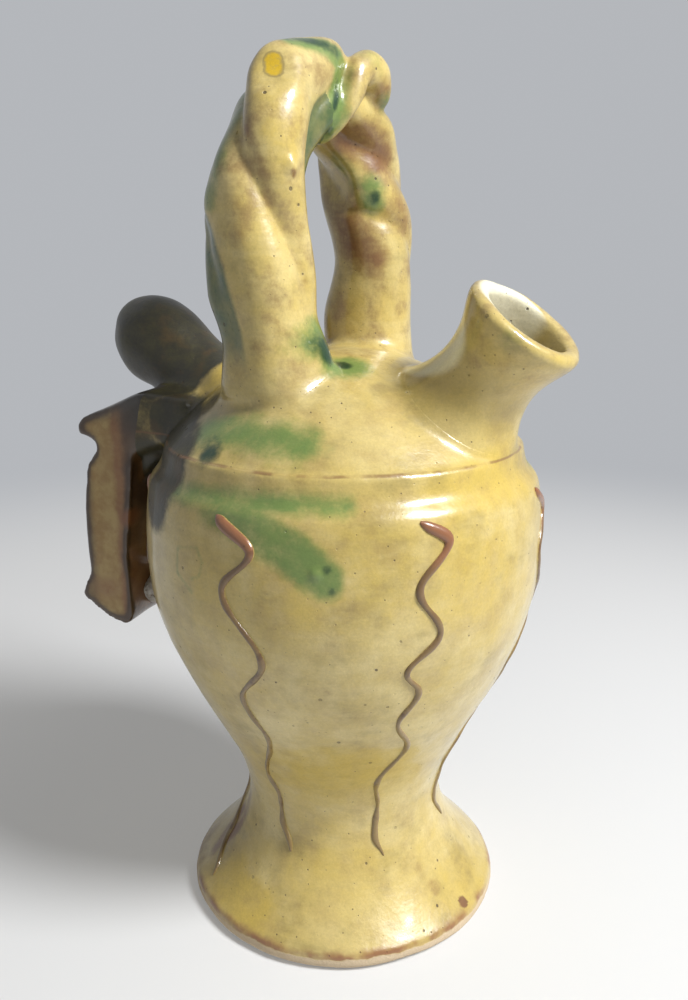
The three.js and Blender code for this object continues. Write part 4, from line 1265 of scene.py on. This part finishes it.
# The plaque's honey glaze: pale in the middle of each side, brown where it broke from the edges,
# with a painted shade along its front edge.
def makePlaqueGlaze():
    material, surface, place = startMaterial("honeyGlaze")
    look = plaqueLook
    hollow = place.painted("hollow")
    mottle = place.noise(6, 3, 0.6)
    fine = place.noise(1.2, 3, 0.65)
    near = place.wandering(6, 2.4)
    turn = math.radians(plaque["turn"])
    outward = (-math.cos(turn), -math.sin(turn), 0)
    reach = place.vector("DOT_PRODUCT", {0: near, 1: outward}, output=1)
    holes = place.specks(9, 0.5, 0.4)
    colour = layered(mottle.rise(0.35, 0.65).mix(look["paleHoney"], look["honey"]), look, [
        ("rust", reach.rise(80.5, 77.5) * 0.7),
        ("edgeAndShade", reach.rise(77, 73) * 0.7),
        # painted shade: the front part darkened where the plaque turns from the light
        ("edgeAndShade", reach.rise(87, 91) * 0.5),
        ("edgeAndShade", (hollow * -1 + mottle * 0.25).rise(0.12, 0.5, 0, 0.95)),
        ("rust", hollow.rise(0.15, 0.7, 0, 0.5)),
        ("rust", near.spots(look["rustSpots"])),
        # ink on the web, and a painted shade along the front edge
        ("inkAndShade", near.spots(look["inkAndShadeSpots"])),
        ("speck", holes * 0.8),
    ])
    relief = fine * 0.4 + mottle * 1.1 - holes * 0.9
    connect(surface, Base_Color=colour, Roughness=0.24 + mottle * 0.14,
            Normal=relief.bump(0.5, 0.4), Coat_Weight=look["coat"],
            Coat_Roughness=look["coatRoughness"])
    return material


ribLook = {
    "slip": (0.17, 0.095, 0.036, 1),
    "paleSlip": (0.27, 0.185, 0.06, 1),
    "redSlip": (0.27, 0.105, 0.045, 1),
    "darkSlip": (0.09, 0.035, 0.016, 1),
    "cream": glazeLook["cream"],
    "coat": 0.6,
    "coatRoughness": 0.08,
}


# Red slip under the glaze: red at the drops, browner and thinner lower down, pale along the sides.
def makeRibSlip():
    material, surface, place = startMaterial("redSlip")
    look = ribLook
    mottle = place.noise(4.5, 3, 0.6)
    fine = place.noise(0.9, 3, 0.65)
    height = place.make("SeparateXYZ", {0: place}, output=2)
    low = (height.rise(150, 70) * 0.45 + mottle * 0.7).rise(0.3, 0.9, 0, 0.8)
    dark = place.noise(5, 3).rise(0.56, 0.7) * 0.6
    colour = layered(low.mix(look["slip"], look["paleSlip"]), look, [
        ("redSlip", (height.rise(128, 150) * 0.7 + mottle * 0.5).rise(0.5, 0.95, 0, 0.85)),
        ("darkSlip", dark.atLeast(place.specks(2.2, 0.4, 0.5) * 0.6)),
        ("cream", (place.painted("crown") + fine * 0.6).rise(0.8, 0.2, 0, 0.85)),
    ])
    connect(surface, Base_Color=colour, Roughness=0.24 + mottle * 0.16,
            Normal=(fine * 0.6 + mottle).bump(0.5, 0.3), Coat_Weight=look["coat"],
            Coat_Roughness=look["coatRoughness"])
    return material


clayLook = {
    "clay": (0.47, 0.43, 0.37, 1),
    "pale": (0.66, 0.64, 0.60, 1),
    "dark": (0.16, 0.12, 0.09, 1),
}


def makeBareClay():
    material, surface, place = startMaterial("bareClay")
    lumps = place.noise(2.6, 4, 0.65)
    grit = place.noise(0.5, 3, 0.7)
    colour = lumps.rise(0.35, 0.65).mix(clayLook["clay"], clayLook["pale"])
    pits = lumps.rise(0.42, 0.3).atLeast(place.specks(1.8, 0.35, 0.5))
    connect(surface, Base_Color=(pits * 0.8).mix(colour, clayLook["dark"]),
            Roughness=0.72 + grit * 0.2, Normal=(lumps + grit * 0.5 - pits * 0.4).bump(0.8, 0.8))
    return material


finishes = {"cream_glaze": makeGlaze(), "honey_glaze": makePlaqueGlaze(),
            "red_slip": makeRibSlip(), "bare_clay": makeBareClay()}
finishes["green_glaze"] = finishes["cream_glaze"]  # the green is painted on the same glaze
for slotName, pieces in stands.items():
    for name in pieces:
        data = bpy.data.objects[name].data
        data.materials.clear()
        data.materials.append(finishes[slotName])
print("the pieces are glazed")


# The floor and the sky: pale, and the same tone far away, so that no horizon shows.

def seenRays(start):
    camera, glossy, transmission = (start.make("LightPath", {}, output=name) for name in
                                    ("Is Camera Ray", "Is Glossy Ray", "Is Transmission Ray"))
    return camera.atLeast(glossy).atLeast(transmission)


def makeFloor():
    floor = newMesh("floor", bpy.ops.mesh.primitive_plane_add, size=studio["floorSize"],
                    location=(0, 0, studio["floorZ"]))
    material, surface, place = startMaterial("paleFloor")
    connect(surface, Base_Color=studio["floorColour"], Roughness=studio["floorRoughness"])
    away = place.vector("LENGTH", {0: place}, output=1)
    tone = away.rise(studio["toneFrom"], studio["farAway"]).mix(studio["nearGlow"],
                                                                studio["backdrop"])
    glow = place.make("Emission", {"Color": tone, "Strength": 1.0})
    share = away.rise(studio["glowFrom"], studio["farAway"], studio["leastGlow"], 1)
    mixed = place.make("MixShader", {0: share * seenRays(place), 2: glow})
    tree = material.node_tree
    tree.links.new(surface.outputs[0], mixed.socket.node.inputs[1])
    tree.links.new(mixed.socket, tree.nodes["Material Output"].inputs["Surface"])
    floor.data.materials.append(material)


def makeSky():
    world = bpy.context.scene.world or bpy.data.worlds.new("sky")
    bpy.context.scene.world = world
    world.use_nodes = True
    tree = world.node_tree
    light = tree.nodes["Background"]
    light.inputs["Color"].default_value = studio["skyColour"]
    light.inputs["Strength"].default_value = studio["skyStrength"]
    start = Field(tree, light.outputs[0])
    glow = start.make("Background", {"Color": studio["backdrop"], "Strength": 1.0})
    mixed = start.make("MixShader", {0: seenRays(start), 1: start, 2: glow})
    tree.links.new(mixed.socket, tree.nodes["World Output"].inputs["Surface"])


makeFloor()
makeSky()
bpy.context.scene.view_settings.view_transform = "Standard"
